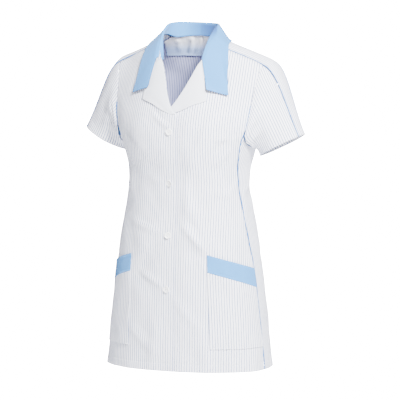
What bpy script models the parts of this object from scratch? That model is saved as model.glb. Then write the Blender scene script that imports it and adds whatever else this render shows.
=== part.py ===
"""A medical tunic, worn shape with no wearer: cloth walls lofted from body and sleeve sections.

Metres, +Z up, the front faces -Y and +X is the wearer's left.
The origin is the middle of the neck base, where the shoulders hold the tunic up.
"""

import math

import bpy
import numpy as np

# Cloth and seams
WALL = 0.0015
GAP = 0.0003
LAID_GAP = 0.0009
FACING_GAP = 0.0020
PIPING_RADIUS = 0.0012
SEAM_HALF = PIPING_RADIUS + GAP
COLLAR_WALL = 0.0018

# Heights
HEM_Z = -0.851
BREAK_Z = -0.192
ARMHOLE_JOIN_Z = -0.228
ARMHOLE_BOTTOM_Z = -0.272
BACK_NECK_Z = 0.004

# The back neck facing: half its width, and its lower edge in the middle and at the sides
FACING_HALF = 0.098
FACING_LOW = -0.057
FACING_LOW_SIDE = -0.066

# Rows of points from the hem to the underarm
BODY_ROWS = 24

# The body's sections: height, half width, front depth, back depth, squareness
BODY_COLUMNS = ("z", "width", "front", "back", "square")
BODY_ROWS_FROM_HEM = (
    (-0.851, 0.2165, 0.146, 0.158, 2.15),
    (-0.740, 0.2070, 0.143, 0.157, 2.15),
    (-0.630, 0.1965, 0.140, 0.153, 2.20),
    (-0.526, 0.1840, 0.136, 0.143, 2.20),
    (-0.423, 0.1655, 0.129, 0.121, 2.20),
    (-0.370, 0.1600, 0.128, 0.110, 2.20),
    (-0.335, 0.1610, 0.132, 0.108, 2.25),
    (-0.300, 0.1680, 0.139, 0.109, 2.30),
    (-0.272, 0.1770, 0.142, 0.112, 2.30),
    (-0.228, 0.1980, 0.140, 0.118, 2.40),
    (-0.190, 0.2140, 0.133, 0.122, 2.50),
    (-0.150, 0.2320, 0.122, 0.124, 2.60),
    (-0.100, 0.2620, 0.112, 0.121, 3.00),
    (-0.050, 0.3000, 0.108, 0.118, 3.50),
    (0.010, 0.3300, 0.106, 0.117, 3.80),
    (0.060, 0.3400, 0.105, 0.117, 4.00),
)
BODY = dict(zip(BODY_COLUMNS, zip(*BODY_ROWS_FROM_HEM)))

# The ridge of the shoulder, from the middle of the neck out to the armhole
RIDGE = {
    "x": (0.000, 0.040, 0.068, 0.103, 0.153, 0.182, 0.209, 0.228, 0.250),
    "z": (0.031, 0.020, 0.008, -0.009, -0.030, -0.0415, -0.053, -0.063, -0.076),
}
FRONT_ROUND = 0.220
BACK_ROUND = 0.170

# The tunic leans to its left at the top and a little to its right at the hem
LEAN = {
    "z": (-0.851, -0.600, -0.420, -0.150, -0.050, 0.030),
    "x": (-0.002, -0.002, 0.000, 0.006, 0.006, 0.001),
}

# The right shoulder hangs lower than the left one
RIGHT_DROP = 0.006

# The shoulders lie further back than the neck
SWEEP = 0.030
SWEEP_FROM_X = 0.060
SWEEP_TO_X = 0.200
SWEEP_FROM_Z = -0.300
SWEEP_TO_Z = -0.100

# The strip over the shoulder and down the sleeve
STRIP_HALF = 0.0335
NECK_X = 0.075
SHOULDER_X = 0.205
STRIP_SHARE = 0.155
SEAM_SHARE = 0.0095

# The front's edge: an overlap as far as the break, then the roll line of the lapel up to the neck
OVERLAP = 0.020
UNDERLAP_IN = WALL + 0.0008
UNDERLAP_FADE = 0.030
ROLL = {
    "z": (-0.192, -0.170, -0.139, -0.103, -0.087, -0.066, -0.050, -0.033, 0.000, 0.020),
    "left": (-0.020, -0.001, 0.019, 0.0375, 0.0450, 0.0540, 0.063, 0.069, 0.0745, 0.075),
    "right": (-0.020, -0.005, 0.010, 0.0240, 0.0310, 0.0420, 0.053, 0.062, 0.0735, 0.075),
}

# The armhole's edge above the underarm, front and back
ARMHOLE = {
    "z": (-0.228, -0.190, -0.150, -0.110, -0.080, -0.050),
    "front_x": (0.180, 0.1860, 0.1900, 0.1940, 0.1985, 0.2055),
    "back_x": (0.180, 0.1855, 0.1905, 0.1955, 0.2000, 0.2055),
}

# The piped seam beside the front and the plain one beside the back, as angles round the body
SIDE_SEAMS = {
    "z": (-0.851, -0.755, -0.594, -0.520, -0.420, -0.364, -0.318, -0.285, -0.228),
    "front_left": (88.0, 87.0, 85.0, 81.0, 77.5, 74.5, 72.5, 70.5, 69.0),
    "front_right": (82.0, 81.0, 79.0, 75.5, 71.5, 72.0, 72.0, 70.5, 69.0),
    "back": (102.0, 102.5, 103.0, 104.0, 105.0, 106.0, 107.0, 108.5, 111.0),
}

# The largest folds: from and to (angle round the body, height), half width, depth outwards
FOLDS = (
    {"from": (10, -0.462), "to": (36, -0.552), "half_width": 0.016, "out": 0.0045},
    {"from": (14, -0.520), "to": (34, -0.585), "half_width": 0.018, "out": -0.0040},
    {"from": (8, -0.405), "to": (32, -0.470), "half_width": 0.018, "out": 0.0030},
    {"from": (-10, -0.470), "to": (-34, -0.535), "half_width": 0.020, "out": 0.0035},
    {"from": (60, -0.400), "to": (40, -0.330), "half_width": 0.022, "out": 0.0035},
    {"from": (-62, -0.395), "to": (-42, -0.335), "half_width": 0.022, "out": 0.0035},
    {"from": (86, -0.425), "to": (112, -0.372), "half_width": 0.022, "out": -0.0045},
    {"from": (-86, -0.430), "to": (-110, -0.378), "half_width": 0.022, "out": -0.0040},
    {"from": (125, -0.400), "to": (160, -0.350), "half_width": 0.022, "out": 0.0050},
    {"from": (-122, -0.395), "to": (-158, -0.355), "half_width": 0.024, "out": 0.0045},
    {"from": (140, -0.455), "to": (172, -0.405), "half_width": 0.022, "out": -0.0040},
    {"from": (-150, -0.120), "to": (-135, -0.260), "half_width": 0.026, "out": 0.0040},
    {"from": (148, -0.115), "to": (134, -0.255), "half_width": 0.026, "out": 0.0045},
    {"from": (118, -0.870), "to": (126, -0.560), "half_width": 0.034, "out": 0.0080},
    {"from": (-116, -0.870), "to": (-128, -0.580), "half_width": 0.032, "out": 0.0075},
    {"from": (158, -0.870), "to": (152, -0.600), "half_width": 0.034, "out": -0.0060},
    {"from": (-162, -0.870), "to": (-150, -0.600), "half_width": 0.034, "out": 0.0065},
    {"from": (72, -0.870), "to": (70, -0.640), "half_width": 0.036, "out": 0.0050},
    {"from": (-74, -0.870), "to": (-70, -0.660), "half_width": 0.034, "out": 0.0050},
)
FOLD_ARC = 0.165

# The sleeve's hem, an ellipse across an axis that leans out from the body
CUFF_CENTRE = np.array((0.248, 0.022, -0.271))
CUFF_OUT = np.array((0.888, 0.0, 0.460))
CUFF_HALF_WIDTH = 0.0650
CUFF_HALF_DEPTH = 0.0500
SLEEVE_AXIS = np.array((0.460, 0.0, -0.888))
CAP_TOP = np.array((0.93, 0.0, -0.37))
CAP_UNDER = np.array((0.95, 0.0, -0.31))
SLEEVE_ROWS = 9
SLEEVE_GAP = 0.0013

# Pockets: heights at their inner and side edges, and where the inner edge stands
POCKETS = {
    "left": {"inner_top": 0.104, "inner_bottom": 0.1145, "top_inner": -0.547, "top_side": -0.588},
    "right": {"inner_top": 0.110, "inner_bottom": 0.1150, "top_inner": -0.553, "top_side": -0.588},
}
POCKET_BOTTOM = -0.790
BAND_INNER = 0.044
BAND_SIDE = 0.048
BAND_WALL = 0.0019
POCKET_GAPE = 0.0022
POCKET_GAPE_FROM = -0.690
POCKET_SEAM_INSET = 0.0022

# Lapels: the roll line and the free edge, from the break up to the collar
LAPEL = {
    "roll_z": (-0.186, -0.166, -0.144, -0.122, -0.103, -0.085, -0.066),
    "edge_x": (-0.006, 0.026, 0.058, 0.0900, 0.0865, 0.079, 0.070),
    "edge_z": (-0.189, -0.178, -0.163, -0.1515, -0.133, -0.110, -0.074),
}
LAPEL_LIFT = 0.0042
LAPEL_UNDER_START = 0.2

# The collar from the back's middle to its front end: neck seam, fold and free edge
COLLAR = {
    "seam": (
        (0.000, 0.062, 0.006), (0.032, 0.058, 0.006), (0.058, 0.042, 0.006),
        (0.0715, 0.016, 0.008), (0.0720, -0.014, 0.006), (0.0690, -0.038, -0.010),
        (0.0645, -0.054, -0.034), (0.0620, -0.060, -0.044), (0.0600, -0.066, -0.054),
    ),
    "fold": (
        (0.000, 0.066, 0.033), (0.032, 0.061, 0.0335), (0.0565, 0.043, 0.034),
        (0.0660, 0.018, 0.032), (0.0660, -0.010, 0.020), (0.0635, -0.034, 0.002),
        (0.0600, -0.052, -0.024), (0.0590, -0.060, -0.038), (0.0580, -0.066, -0.050),
    ),
    "edge": (
        (0.000, 0.088, -0.012), (0.042, 0.083, -0.013), (0.080, 0.064, -0.014),
        (0.101, 0.026, -0.010), (0.112, -0.018, -0.012), (0.121, -0.052, -0.048),
        (0.127, -0.074, -0.092), (0.1315, -0.084, -0.1375), (0.084, -0.112, -0.121),
    ),
}
COLLAR_STEPS = 2
COLLAR_FOLD_RADIUS = 0.0034
COLLAR_LEFT_LEAF = 0.007
COLLAR_RIGHT_IN = 0.009
COLLAR_LEAF_PARTS = (0.16, 0.34, 0.54, 0.74, 0.88, 1.0)
COLLAR_FOLD_TURNS = (0, 55, 110, 165)
COLLAR_OFF_BACK = 0.0050
COLLAR_OFF_FRONT = 0.0066
COLLAR_OFF_FOLD = 0.0042
COLLAR_MIDDLE = np.array((0.0, 0.012, 0.0))

# Buttons: heights of the four, and one button's sizes
BUTTON_HEIGHTS = (-0.232, -0.366, -0.500, -0.639)
BUTTON_RADIUS = 0.0088
BUTTON_THICK = 0.0028
BUTTON_STEPS = 20
BUTTON_SEAT = 0.0006

# A button's section as shares of its radius and thickness, from the middle of its face to its back
BUTTON_PROFILE = (
    (0.00, 0.66), (0.70, 0.72), (0.84, 1.00), (0.96, 0.85),
    (1.00, 0.45), (0.72, 0.00), (0.00, 0.00),
)

# Colours: linear RGB, roughness
MATERIALS = {
    "striped cloth": ((0.80, 0.81, 0.86), 0.85),
    "white cloth": ((0.84, 0.85, 0.88), 0.85),
    "blue cloth": ((0.33, 0.58, 0.83), 0.80),
    "button": ((0.86, 0.87, 0.88), 0.35),
}


def clear_scene():
    for old in list(bpy.data.objects):
        bpy.data.objects.remove(old, do_unlink=True)


def smooth(knots, values, at):
    """Values between a table's rows on a smooth curve that doesn't overshoot them."""
    knots = np.asarray(knots, float)
    values = np.asarray(values, float)
    at = np.clip(np.asarray(at, float), knots[0], knots[-1])
    steps = np.diff(knots)
    slopes = np.diff(values) / steps
    tangents = np.zeros(len(knots))
    tangents[0] = slopes[0]
    tangents[-1] = slopes[-1]
    both = slopes[:-1] * slopes[1:]
    mean = 2 * both / np.where(both > 0, slopes[:-1] + slopes[1:], 1.0)
    tangents[1:-1] = np.where(both > 0, mean, 0.0)
    row = np.clip(np.searchsorted(knots, at, side="right") - 1, 0, len(steps) - 1)
    part = (at - knots[row]) / steps[row]
    start = (1 + 2 * part) * (1 - part) ** 2 * values[row]
    end = part**2 * (3 - 2 * part) * values[row + 1]
    leave = part * (1 - part) ** 2 * steps[row] * tangents[row]
    arrive = part**2 * (part - 1) * steps[row] * tangents[row + 1]
    return start + end + leave + arrive


def ease(low, high, at):
    part = np.clip((np.asarray(at, float) - low) / (high - low), 0.0, 1.0)
    return part * part * (3 - 2 * part)


def blend(first, second, part):
    return first + (second - first) * part


def section(z):
    """Half width, front depth, back depth and squareness of the body at a height."""
    return tuple(smooth(BODY["z"], BODY[name], z) for name in ("width", "front", "back", "square"))


def ridge(x):
    return smooth(RIDGE["x"], RIDGE["z"], np.abs(x))


def sweep(x, z):
    """How far back the middle of the body's depth lies."""
    return SWEEP * ease(SWEEP_FROM_X, SWEEP_TO_X, np.abs(x)) * ease(SWEEP_FROM_Z, SWEEP_TO_Z, z)


def shoulder_share(x, z, height):
    """How much of its depth the body has this far under the shoulder's ridge, from 0 to 1."""
    under = np.clip((ridge(x) - z) / height, 0.0, 1.0)
    return np.sqrt(np.maximum(1 - (1 - under) ** 2, 0.0))


def fold_height(angle, z):
    """How far the folds lift the cloth at an angle in radians and a height."""
    lift = np.zeros(np.broadcast(angle, z).shape)
    turn = (np.degrees(angle) + 180) % 360 - 180
    for fold in FOLDS:
        start = np.array((math.radians(fold["from"][0]) * FOLD_ARC, fold["from"][1]))
        end = np.array((math.radians(fold["to"][0]) * FOLD_ARC, fold["to"][1]))
        along = end - start
        length = np.hypot(*along)
        along = along / length
        across_x = np.radians(turn) * FOLD_ARC - start[0]
        across_z = z - start[1]
        reach = (across_x * along[0] + across_z * along[1]) / length
        beside = across_x * along[1] - across_z * along[0]
        taper = np.clip(np.sin(np.pi * np.clip(reach, 0.0, 1.0)), 0.0, 1.0)
        if fold["from"][1] < HEM_Z:
            taper = np.cos(0.5 * np.pi * np.clip(reach, 0.0, 1.0))
        lift = lift + fold["out"] * taper * np.exp(-((beside / fold["half_width"]) ** 2))
    return lift


def plain_body(angle, z):
    """The body's form without its folds: angle 0 is the front's middle, positive to the wearer's left."""
    width, front, back, square = section(z)
    sine = np.sin(angle)
    cosine = np.cos(angle)
    x = width * sine
    share = np.maximum(1 - np.abs(sine) ** square, 0.0) ** (1 / square)
    y_front = -front * share * shoulder_share(x, z, FRONT_ROUND)
    y_back = back * share * shoulder_share(x, z, BACK_ROUND)
    y = np.where(cosine >= 0, y_front, y_back) + sweep(x, z)
    return np.stack(np.broadcast_arrays(x, y, z), axis=-1)


def unit(vectors):
    return vectors / np.maximum(np.linalg.norm(vectors, axis=-1, keepdims=True), 1e-12)


def body(angle, z, out=0.0):
    """A point of the body's form, moved out along its normal."""
    angle, z, out = np.broadcast_arrays(*(np.asarray(given, float) for given in (angle, z, out)))
    step_angle = 0.004
    step_z = 0.0015
    round_it = plain_body(angle + step_angle, z) - plain_body(angle - step_angle, z)
    up_it = plain_body(angle, z + step_z) - plain_body(angle, z - step_z)
    normal = unit(np.cross(round_it, up_it))
    return plain_body(angle, z) + normal * (out + fold_height(angle, z))[..., None]


def angle_at(x, z):
    """The angle of the front's point at x."""
    width = section(z)[0]
    return np.arcsin(np.clip(x / width, -1.0, 1.0))


def shifted(angle, z, distance):
    """The angle this far further round the body, measured along the cloth."""
    step = 0.004
    speed = np.linalg.norm(plain_body(angle + step, z) - plain_body(angle - step, z), axis=-1) / (2 * step)
    return angle + distance / np.maximum(speed, 0.02)


def strip_height(x, across, front=True):
    """The shoulder's height at x, this far in front of its ridge or behind it."""
    depth_column = 1 if front else 2
    height = FRONT_ROUND if front else BACK_ROUND
    z = ridge(x)
    for _ in range(5):
        sizes = section(z)
        share = (1 - np.clip(np.abs(x) / sizes[0], 0, 1) ** sizes[3]) ** (1 / sizes[3])
        part = np.clip(np.abs(across) / (sizes[depth_column] * share), 0.0, 0.98)
        z = ridge(x) - height * (1 - np.sqrt(1 - part**2))
    return z


def armhole_angle(z, back=False):
    """The armhole's edge as an angle: table above the underarm, a round bottom below."""
    x = smooth(ARMHOLE["z"], ARMHOLE["back_x" if back else "front_x"], z)
    above = angle_at(x, np.maximum(z, ARMHOLE_JOIN_Z))
    span = math.pi / 2 - angle_at(ARMHOLE["back_x" if back else "front_x"][0], ARMHOLE_JOIN_Z)
    drop = np.clip((ARMHOLE_JOIN_Z - z) / (ARMHOLE_JOIN_Z - ARMHOLE_BOTTOM_Z), 0.0, 1.0)
    below = math.pi / 2 - span * np.sqrt(1 - drop**2)
    angle = np.where(z >= ARMHOLE_JOIN_Z, above, below)
    return math.pi - angle if back else angle


def armhole_bottom(angle):
    """The height of the armhole's round bottom at an angle between the two side seams."""
    away = np.abs(angle - math.pi / 2)
    front = math.pi / 2 - armhole_angle(ARMHOLE_JOIN_Z)
    back = armhole_angle(ARMHOLE_JOIN_Z, back=True) - math.pi / 2
    span = np.where(angle < math.pi / 2, front, back)
    part = np.clip(away / span, 0.0, 1.0)
    return ARMHOLE_JOIN_Z - (ARMHOLE_JOIN_Z - ARMHOLE_BOTTOM_Z) * np.sqrt(1 - part**2)


def seam_angle(z, name, side=1):
    """The angle of the seam beside the front or the back."""
    column = name if name == "back" else name + "_" + side_name(side)
    angle = np.radians(smooth(SIDE_SEAMS["z"], SIDE_SEAMS[column], z))
    join = armhole_angle(ARMHOLE_JOIN_Z, back=name == "back")
    return blend(angle, join, ease(-0.300, ARMHOLE_JOIN_Z, z))


def leant(points):
    moved = np.array(points, float)
    right = ease(0.05, 0.15, -moved[..., 0]) * ease(-0.30, -0.12, moved[..., 2])
    moved[..., 2] -= RIGHT_DROP * right
    moved[..., 0] += smooth(LEAN["z"], LEAN["x"], moved[..., 2])
    return moved


def mirrored(points, side):
    """The points on the wearer's left (side 1) or right (side -1)."""
    turned = np.array(points, float)
    turned[..., 0] *= side
    return turned


def material(name):
    found = bpy.data.materials.get(name)
    if found:
        return found
    colour, roughness = MATERIALS[name]
    made = bpy.data.materials.new(name)
    made.use_nodes = True
    shader = made.node_tree.nodes["Principled BSDF"]
    shader.inputs["Base Color"].default_value = (*colour, 1.0)
    shader.inputs["Roughness"].default_value = roughness
    shader.inputs["Metallic"].default_value = 0.0
    return made


def add_object(name, data, material_name):
    thing = bpy.data.objects.new(name, data)
    thing.data.materials.append(material(material_name))
    tunic.objects.link(thing)
    return thing


def cloth(name, grid, material_name, wall=WALL, reverse=False):
    """A cloth wall: an open loft through the grid's rows, made solid inwards."""
    grid = leant(grid)
    rows, columns = grid.shape[:2]
    faces = []
    for row in range(rows - 1):
        for column in range(columns - 1):
            corner = row * columns + column
            face = (corner, corner + 1, corner + columns + 1, corner + columns)
            faces.append(face[::-1] if reverse else face)
    mesh = bpy.data.meshes.new(name)
    mesh.from_pydata(grid.reshape(-1, 3).tolist(), [], faces)
    mesh.shade_smooth()
    piece = add_object(name, mesh, material_name)
    thickness = piece.modifiers.new("wall", "SOLIDIFY")
    thickness.thickness = wall
    thickness.offset = -1.0
    return piece


def piping(name, points):
    """A covered cord along a seam."""
    points = leant(points)
    curve = bpy.data.curves.new(name, "CURVE")
    curve.dimensions = "3D"
    curve.bevel_depth = PIPING_RADIUS
    curve.bevel_resolution = 1
    curve.use_fill_caps = True
    spline = curve.splines.new("POLY")
    spline.points.add(len(points) - 1)
    for target, point in zip(spline.points, points):
        target.co = (*point, 1.0)
    return add_object(name, curve, "blue cloth")


def side_name(side):
    return "left" if side > 0 else "right"


def low_levels():
    """The heights of the rows that the fronts and the back share, from the hem to the break."""
    below = np.linspace(HEM_Z, ARMHOLE_JOIN_Z, BODY_ROWS)
    above = np.linspace(ARMHOLE_JOIN_Z, BREAK_Z, 3)[1:]
    return np.concatenate([below, above])


def front_panels():
    """Both fronts: level rows to the break, then rows that rise to the strip over the shoulder."""
    low = low_levels()
    rise = np.linspace(0, 1, 9)[1:]
    across = np.linspace(0, 1, 13)
    edge_offset = STRIP_HALF + SEAM_HALF
    for side in (-1, 1):
        inner_low = angle_at(-OVERLAP, low)
        outer_low = seam_angle(low, "front", side)
        outer_low = np.where(low > ARMHOLE_JOIN_Z, armhole_angle(low), outer_low)
        outer_low = np.where(low > ARMHOLE_JOIN_Z, outer_low, shifted(outer_low, low, -SEAM_HALF))
        angle_low = blend(inner_low[:, None], outer_low[:, None], across[None, :])
        z_low = np.repeat(low[:, None], len(across), axis=1)

        top_inner = float(strip_height(NECK_X, edge_offset))
        top_outer = float(strip_height(SHOULDER_X, edge_offset))
        z_in = blend(BREAK_Z, top_inner, rise)
        z_out = blend(BREAK_Z, top_outer, rise)
        angle_in = angle_at(smooth(ROLL["z"], ROLL[side_name(side)], z_in), z_in)
        angle_out = armhole_angle(z_out)
        angle_up = blend(angle_in[:, None], angle_out[:, None], across[None, :])
        top_z = blend(top_inner, top_outer, across)
        for _ in range(8):
            top_z = strip_height(plain_body(angle_up[-1], top_z)[:, 0], edge_offset)
        z_up = blend(z_in[:, None], z_out[:, None], across[None, :])
        z_up = z_up + rise[:, None] * (top_z - blend(top_inner, top_outer, across))[None, :]

        angle = np.concatenate([angle_low, angle_up])
        z = np.concatenate([z_low, z_up])
        out = front_out(angle, z, side)
        grid = body(side * angle, z, out)
        cloth("front_" + side_name(side), grid, "striped cloth", reverse=side < 0)


def front_out(angle, z, side):
    """The left front goes under the right one where they overlap."""
    if side < 0:
        return np.zeros(np.broadcast(angle, z).shape)
    x = plain_body(angle, z)[..., 0]
    return -UNDERLAP_IN * (1 - ease(OVERLAP, OVERLAP + UNDERLAP_FADE, x))


def side_panels():
    """The side panels, from the piped seam round to the seam beside the back."""
    rise = np.linspace(0, 1, BODY_ROWS)
    across = np.linspace(0, 1, 9)
    for side in (-1, 1):
        front_join = armhole_angle(ARMHOLE_JOIN_Z)
        back_join = armhole_angle(ARMHOLE_JOIN_Z, back=True)
        top = armhole_bottom(blend(front_join, back_join, across))
        z = blend(HEM_Z, top[None, :], rise[:, None])
        start = shifted(seam_angle(z, "front", side), z, SEAM_HALF)
        end = shifted(seam_angle(z, "back"), z, -GAP)
        angle = blend(start, end, across[None, :])
        grid = body(side * angle, z)
        cloth("side_" + side_name(side), grid, "striped cloth", reverse=side < 0)


def back_top(x):
    """The height of the back's top edge: the strip's edge, then the neck's curve."""
    beside = strip_height(np.maximum(np.abs(x), NECK_X), STRIP_HALF + SEAM_HALF, front=False)
    neck_side = strip_height(NECK_X, STRIP_HALF + SEAM_HALF, front=False)
    neck = blend(BACK_NECK_Z, neck_side, ease(0.0, NECK_X, np.abs(x)))
    return np.where(np.abs(x) >= NECK_X, beside, neck)


def back_grid(rows_high, columns):
    """Angles and heights of the back, seam to seam."""
    low = low_levels()
    rise = np.linspace(0, 1, rows_high + 1)[1:]
    across = np.linspace(-1, 1, columns)
    edge_low = seam_angle(low, "back")
    edge_low = np.where(low > ARMHOLE_JOIN_Z, armhole_angle(low, back=True), edge_low)
    edge_low = np.where(low > ARMHOLE_JOIN_Z, edge_low, shifted(edge_low, low, GAP))
    half_low = math.pi - edge_low
    angle_low = half_low[:, None] * across[None, :]
    z_low = np.repeat(low[:, None], columns, axis=1)
    top_outer = float(back_top(SHOULDER_X))
    z_out = blend(BREAK_Z, top_outer, rise)
    half_up = math.pi - armhole_angle(z_out, back=True)
    angle_up = half_up[:, None] * across[None, :]
    top_z = np.full(columns, top_outer)
    for _ in range(12):
        top_z = back_top(plain_body(math.pi - angle_up[-1], top_z)[:, 0])
    z_up = blend(BREAK_Z, top_z[None, :], rise[:, None])
    edge_share = np.abs(across) ** 6
    z_up = blend(z_up, z_out[:, None], edge_share[None, :])
    z_up[-1] = top_z
    return np.concatenate([angle_low, angle_up]), np.concatenate([z_low, z_up])


def back_panel():
    angle, z = back_grid(11, 23)
    cloth("back", body(math.pi - angle, z), "striped cloth", reverse=True)


def neck_facing():
    """The plain facing inside the back's neck, down from the neck seam."""
    rise = np.linspace(0, 1, 6)
    across = np.linspace(-1, 1, 13)
    x = FACING_HALF * across
    top = back_top(x) - 0.0015
    bottom = blend(FACING_LOW, FACING_LOW_SIDE, np.abs(across) ** 2)
    z = blend(bottom[None, :], top[None, :], rise[:, None])
    angle = math.pi - angle_at(x[None, :], z)
    cloth("neck_facing", body(angle, z, -(WALL + FACING_GAP)), "white cloth", wall=0.001, reverse=True)


def armhole_ring():
    """Points round the armhole from its top (share 0) down to the underarm (share 1), front and back."""
    rings = {}
    for name, back in (("front", False), ("back", True)):
        across = np.linspace(0, STRIP_HALF, 12)
        z_top = strip_height(SHOULDER_X, across, front=not back)
        sign = 1 if back else -1
        y_top = sign * across + sweep(SHOULDER_X, z_top)
        over = np.stack([np.full(12, SHOULDER_X), y_top, z_top], axis=1)
        dense = np.linspace(z_top[-1], ARMHOLE_JOIN_Z, 40)[1:]
        turn = np.linspace(0, math.pi / 2, 20)[1:]
        low = ARMHOLE_JOIN_Z - (ARMHOLE_JOIN_Z - ARMHOLE_BOTTOM_Z) * np.sin(turn)
        z = np.concatenate([dense, low])
        down = body(armhole_angle(z, back=back), z)
        line = np.concatenate([over, down])
        walked = np.concatenate([[0], np.cumsum(np.linalg.norm(np.diff(line, axis=0), axis=1))])
        share = np.concatenate([
            np.linspace(0, STRIP_SHARE, 12),
            STRIP_SHARE + (1 - STRIP_SHARE) * (walked[12:] - walked[11]) / (walked[-1] - walked[11]),
        ])
        rings[name] = (share, line)
    return rings


def ring_at(rings, share):
    """The armhole's point at a share from -1 (underarm, front way) through 0 (top) to 1 (back way)."""
    share = np.asarray(share, float)
    points = np.zeros(share.shape + (3,))
    for axis in range(3):
        front = np.interp(-share, rings["front"][0], rings["front"][1][:, axis])
        back = np.interp(share, rings["back"][0], rings["back"][1][:, axis])
        points[..., axis] = np.where(share < 0, front, back)
    return points


def cuff_at(share):
    """The sleeve hem's point at a share."""
    turn = np.asarray(share, float) * math.pi
    turn = turn - 0.16 * np.sin(2 * turn) / 2
    out = np.cos(turn)[..., None] * CUFF_HALF_WIDTH * CUFF_OUT
    depth = np.sin(turn)[..., None] * CUFF_HALF_DEPTH * np.array((0.0, 1.0, 0.0))
    return CUFF_CENTRE + out + depth


def sleeve(share, along):
    """The sleeve's form: share goes round it, along goes from the armhole (0) to the hem (1)."""
    share, along = np.broadcast_arrays(np.asarray(share, float), np.asarray(along, float))
    start = ring_at(RINGS, share)
    end = cuff_at(share)
    low = ease(0.1, 1.0, np.abs(share))[..., None]
    leave = unit(blend(CAP_TOP, CAP_UNDER, low))
    length = np.linalg.norm(end - start, axis=-1)[..., None]
    leave_by = blend(0.20, 0.28, low) * length
    arrive_by = blend(0.38, 0.42, low) * length
    first = start + leave * leave_by
    second = end - SLEEVE_AXIS * arrive_by
    part = along[..., None]
    rest = 1 - part
    return rest**3 * start + 3 * rest**2 * part * first + 3 * rest * part**2 * second + part**3 * end


def sleeves():
    """The sleeves: round the arm from one edge of the strip under it to the other."""
    rounds = 29
    edge = STRIP_SHARE + SEAM_SHARE
    share = np.linspace(edge, 2 - edge, rounds)
    share = np.where(share > 1, share - 2, share)
    length = np.linalg.norm(cuff_at(share) - ring_at(RINGS, share), axis=-1)
    start = SLEEVE_GAP / (0.6 * length)
    along = blend(start[None, :], 1.0, np.linspace(0, 1, SLEEVE_ROWS)[:, None] ** 1.15)
    for side in (-1, 1):
        grid = sleeve(share[None, :], along)
        cloth("sleeve_" + side_name(side), mirrored(grid, side), "striped cloth", reverse=side > 0)


def strip_line(across, half=STRIP_HALF, share=STRIP_SHARE):
    """Points along the strip from the neck to the sleeve hem: across runs from -1 (front) to 1 (back)."""
    x = np.linspace(NECK_X + 0.001, SHOULDER_X, 8)[:-1]
    width = across * half
    height = strip_height(x, width, front=across < 0)
    over = np.stack([x, width + sweep(x, height), height], axis=1)
    along = np.linspace(0, 1, 10)
    down = sleeve(across * share, along)
    return np.concatenate([over, down])


def strips():
    half = STRIP_HALF - SEAM_HALF
    share = STRIP_SHARE - SEAM_SHARE
    across = np.linspace(-1, 1, 8)
    for side in (-1, 1):
        grid = np.stack([strip_line(part, half, share) for part in across], axis=1)
        cloth("strip_" + side_name(side), mirrored(grid, side), "striped cloth", reverse=side > 0)


def pipings():
    """The piping beside the fronts and on both edges of the strips."""
    z = low_levels()[:BODY_ROWS]
    for side in (-1, 1):
        seam = body(side * seam_angle(z, "front", side), z, -0.0003)
        seam[-1] = blend(seam[-2], seam[-1], 0.7)
        piping("piping_side_" + side_name(side), seam)
        for name, part in (("front", -1), ("back", 1)):
            piping("piping_" + name + "_" + side_name(side), mirrored(strip_line(part), side))


def pocket_points(side, from_share, to_share, rows, out):
    """A pocket's stretch: share 0 is its bottom, 1 the band's lower edge and 2 the slanted top."""
    sizes = POCKETS[side_name(side)]
    across = np.linspace(0, 1, 8)[None, :]
    share = np.linspace(from_share, to_share, rows)[:, None]
    top = blend(sizes["top_inner"], sizes["top_side"], across)
    under_band = top - blend(BAND_INNER, BAND_SIDE, across)
    z = np.where(
        share > 1,
        blend(under_band, top, share - 1),
        blend(POCKET_BOTTOM, under_band, share),
    )
    high = (z - POCKET_BOTTOM) / (sizes["top_inner"] - POCKET_BOTTOM)
    start = angle_at(blend(sizes["inner_bottom"], sizes["inner_top"], high), z)
    end = shifted(seam_angle(z, "front", side), z, -(SEAM_HALF + POCKET_SEAM_INSET))
    angle = blend(start, end, across)
    gape = POCKET_GAPE * np.sin(math.pi * across) * ease(POCKET_GAPE_FROM, sizes["top_inner"], z)
    return body(side * angle, z, out + gape)


def pockets():
    for side in (-1, 1):
        name = side_name(side)
        low = pocket_points(side, 0.0, 0.999, 12, LAID_GAP + WALL)
        cloth("pocket_" + name, low, "striped cloth", reverse=side < 0)
        band = pocket_points(side, 1.001, 2.0, 4, LAID_GAP + BAND_WALL)
        cloth("pocket_band_" + name, band, "blue cloth", wall=BAND_WALL, reverse=side < 0)


def lapels():
    """The lapels: from the roll line over the front to their free edge."""
    table = np.linspace(0, 1, len(LAPEL["roll_z"]))
    across = np.linspace(0, 1, 6)
    lift = LAPEL_LIFT * (1 - (2 * across - 0.7) ** 2 / 2.2)
    lift = np.maximum(lift, GAP + WALL + 0.0006)
    for side in (-1, 1):
        rows = np.linspace(LAPEL_UNDER_START if side > 0 else 0, 1, 13)
        x, z = lapel_places(rows, table, across, side)
        angle = angle_at(x, z)
        out = lift[None, :] + 0.5 * front_out(angle, z, side)
        cloth("lapel_" + side_name(side), body(side * angle, z, out), "white cloth", reverse=side < 0)


def lapel_places(rows, table, across, side):
    """Where a lapel's points lie on the front, from the roll line to the free edge."""
    roll_z = np.interp(rows, table, LAPEL["roll_z"])
    roll_x = smooth(ROLL["z"], ROLL[side_name(side)], roll_z)
    edge_x = np.interp(rows, table, LAPEL["edge_x"])
    edge_z = np.interp(rows, table, LAPEL["edge_z"])
    x = blend(roll_x[:, None], edge_x[:, None], across[None, :])
    z = blend(roll_z[:, None], edge_z[:, None], across[None, :])
    return x, z


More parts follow.
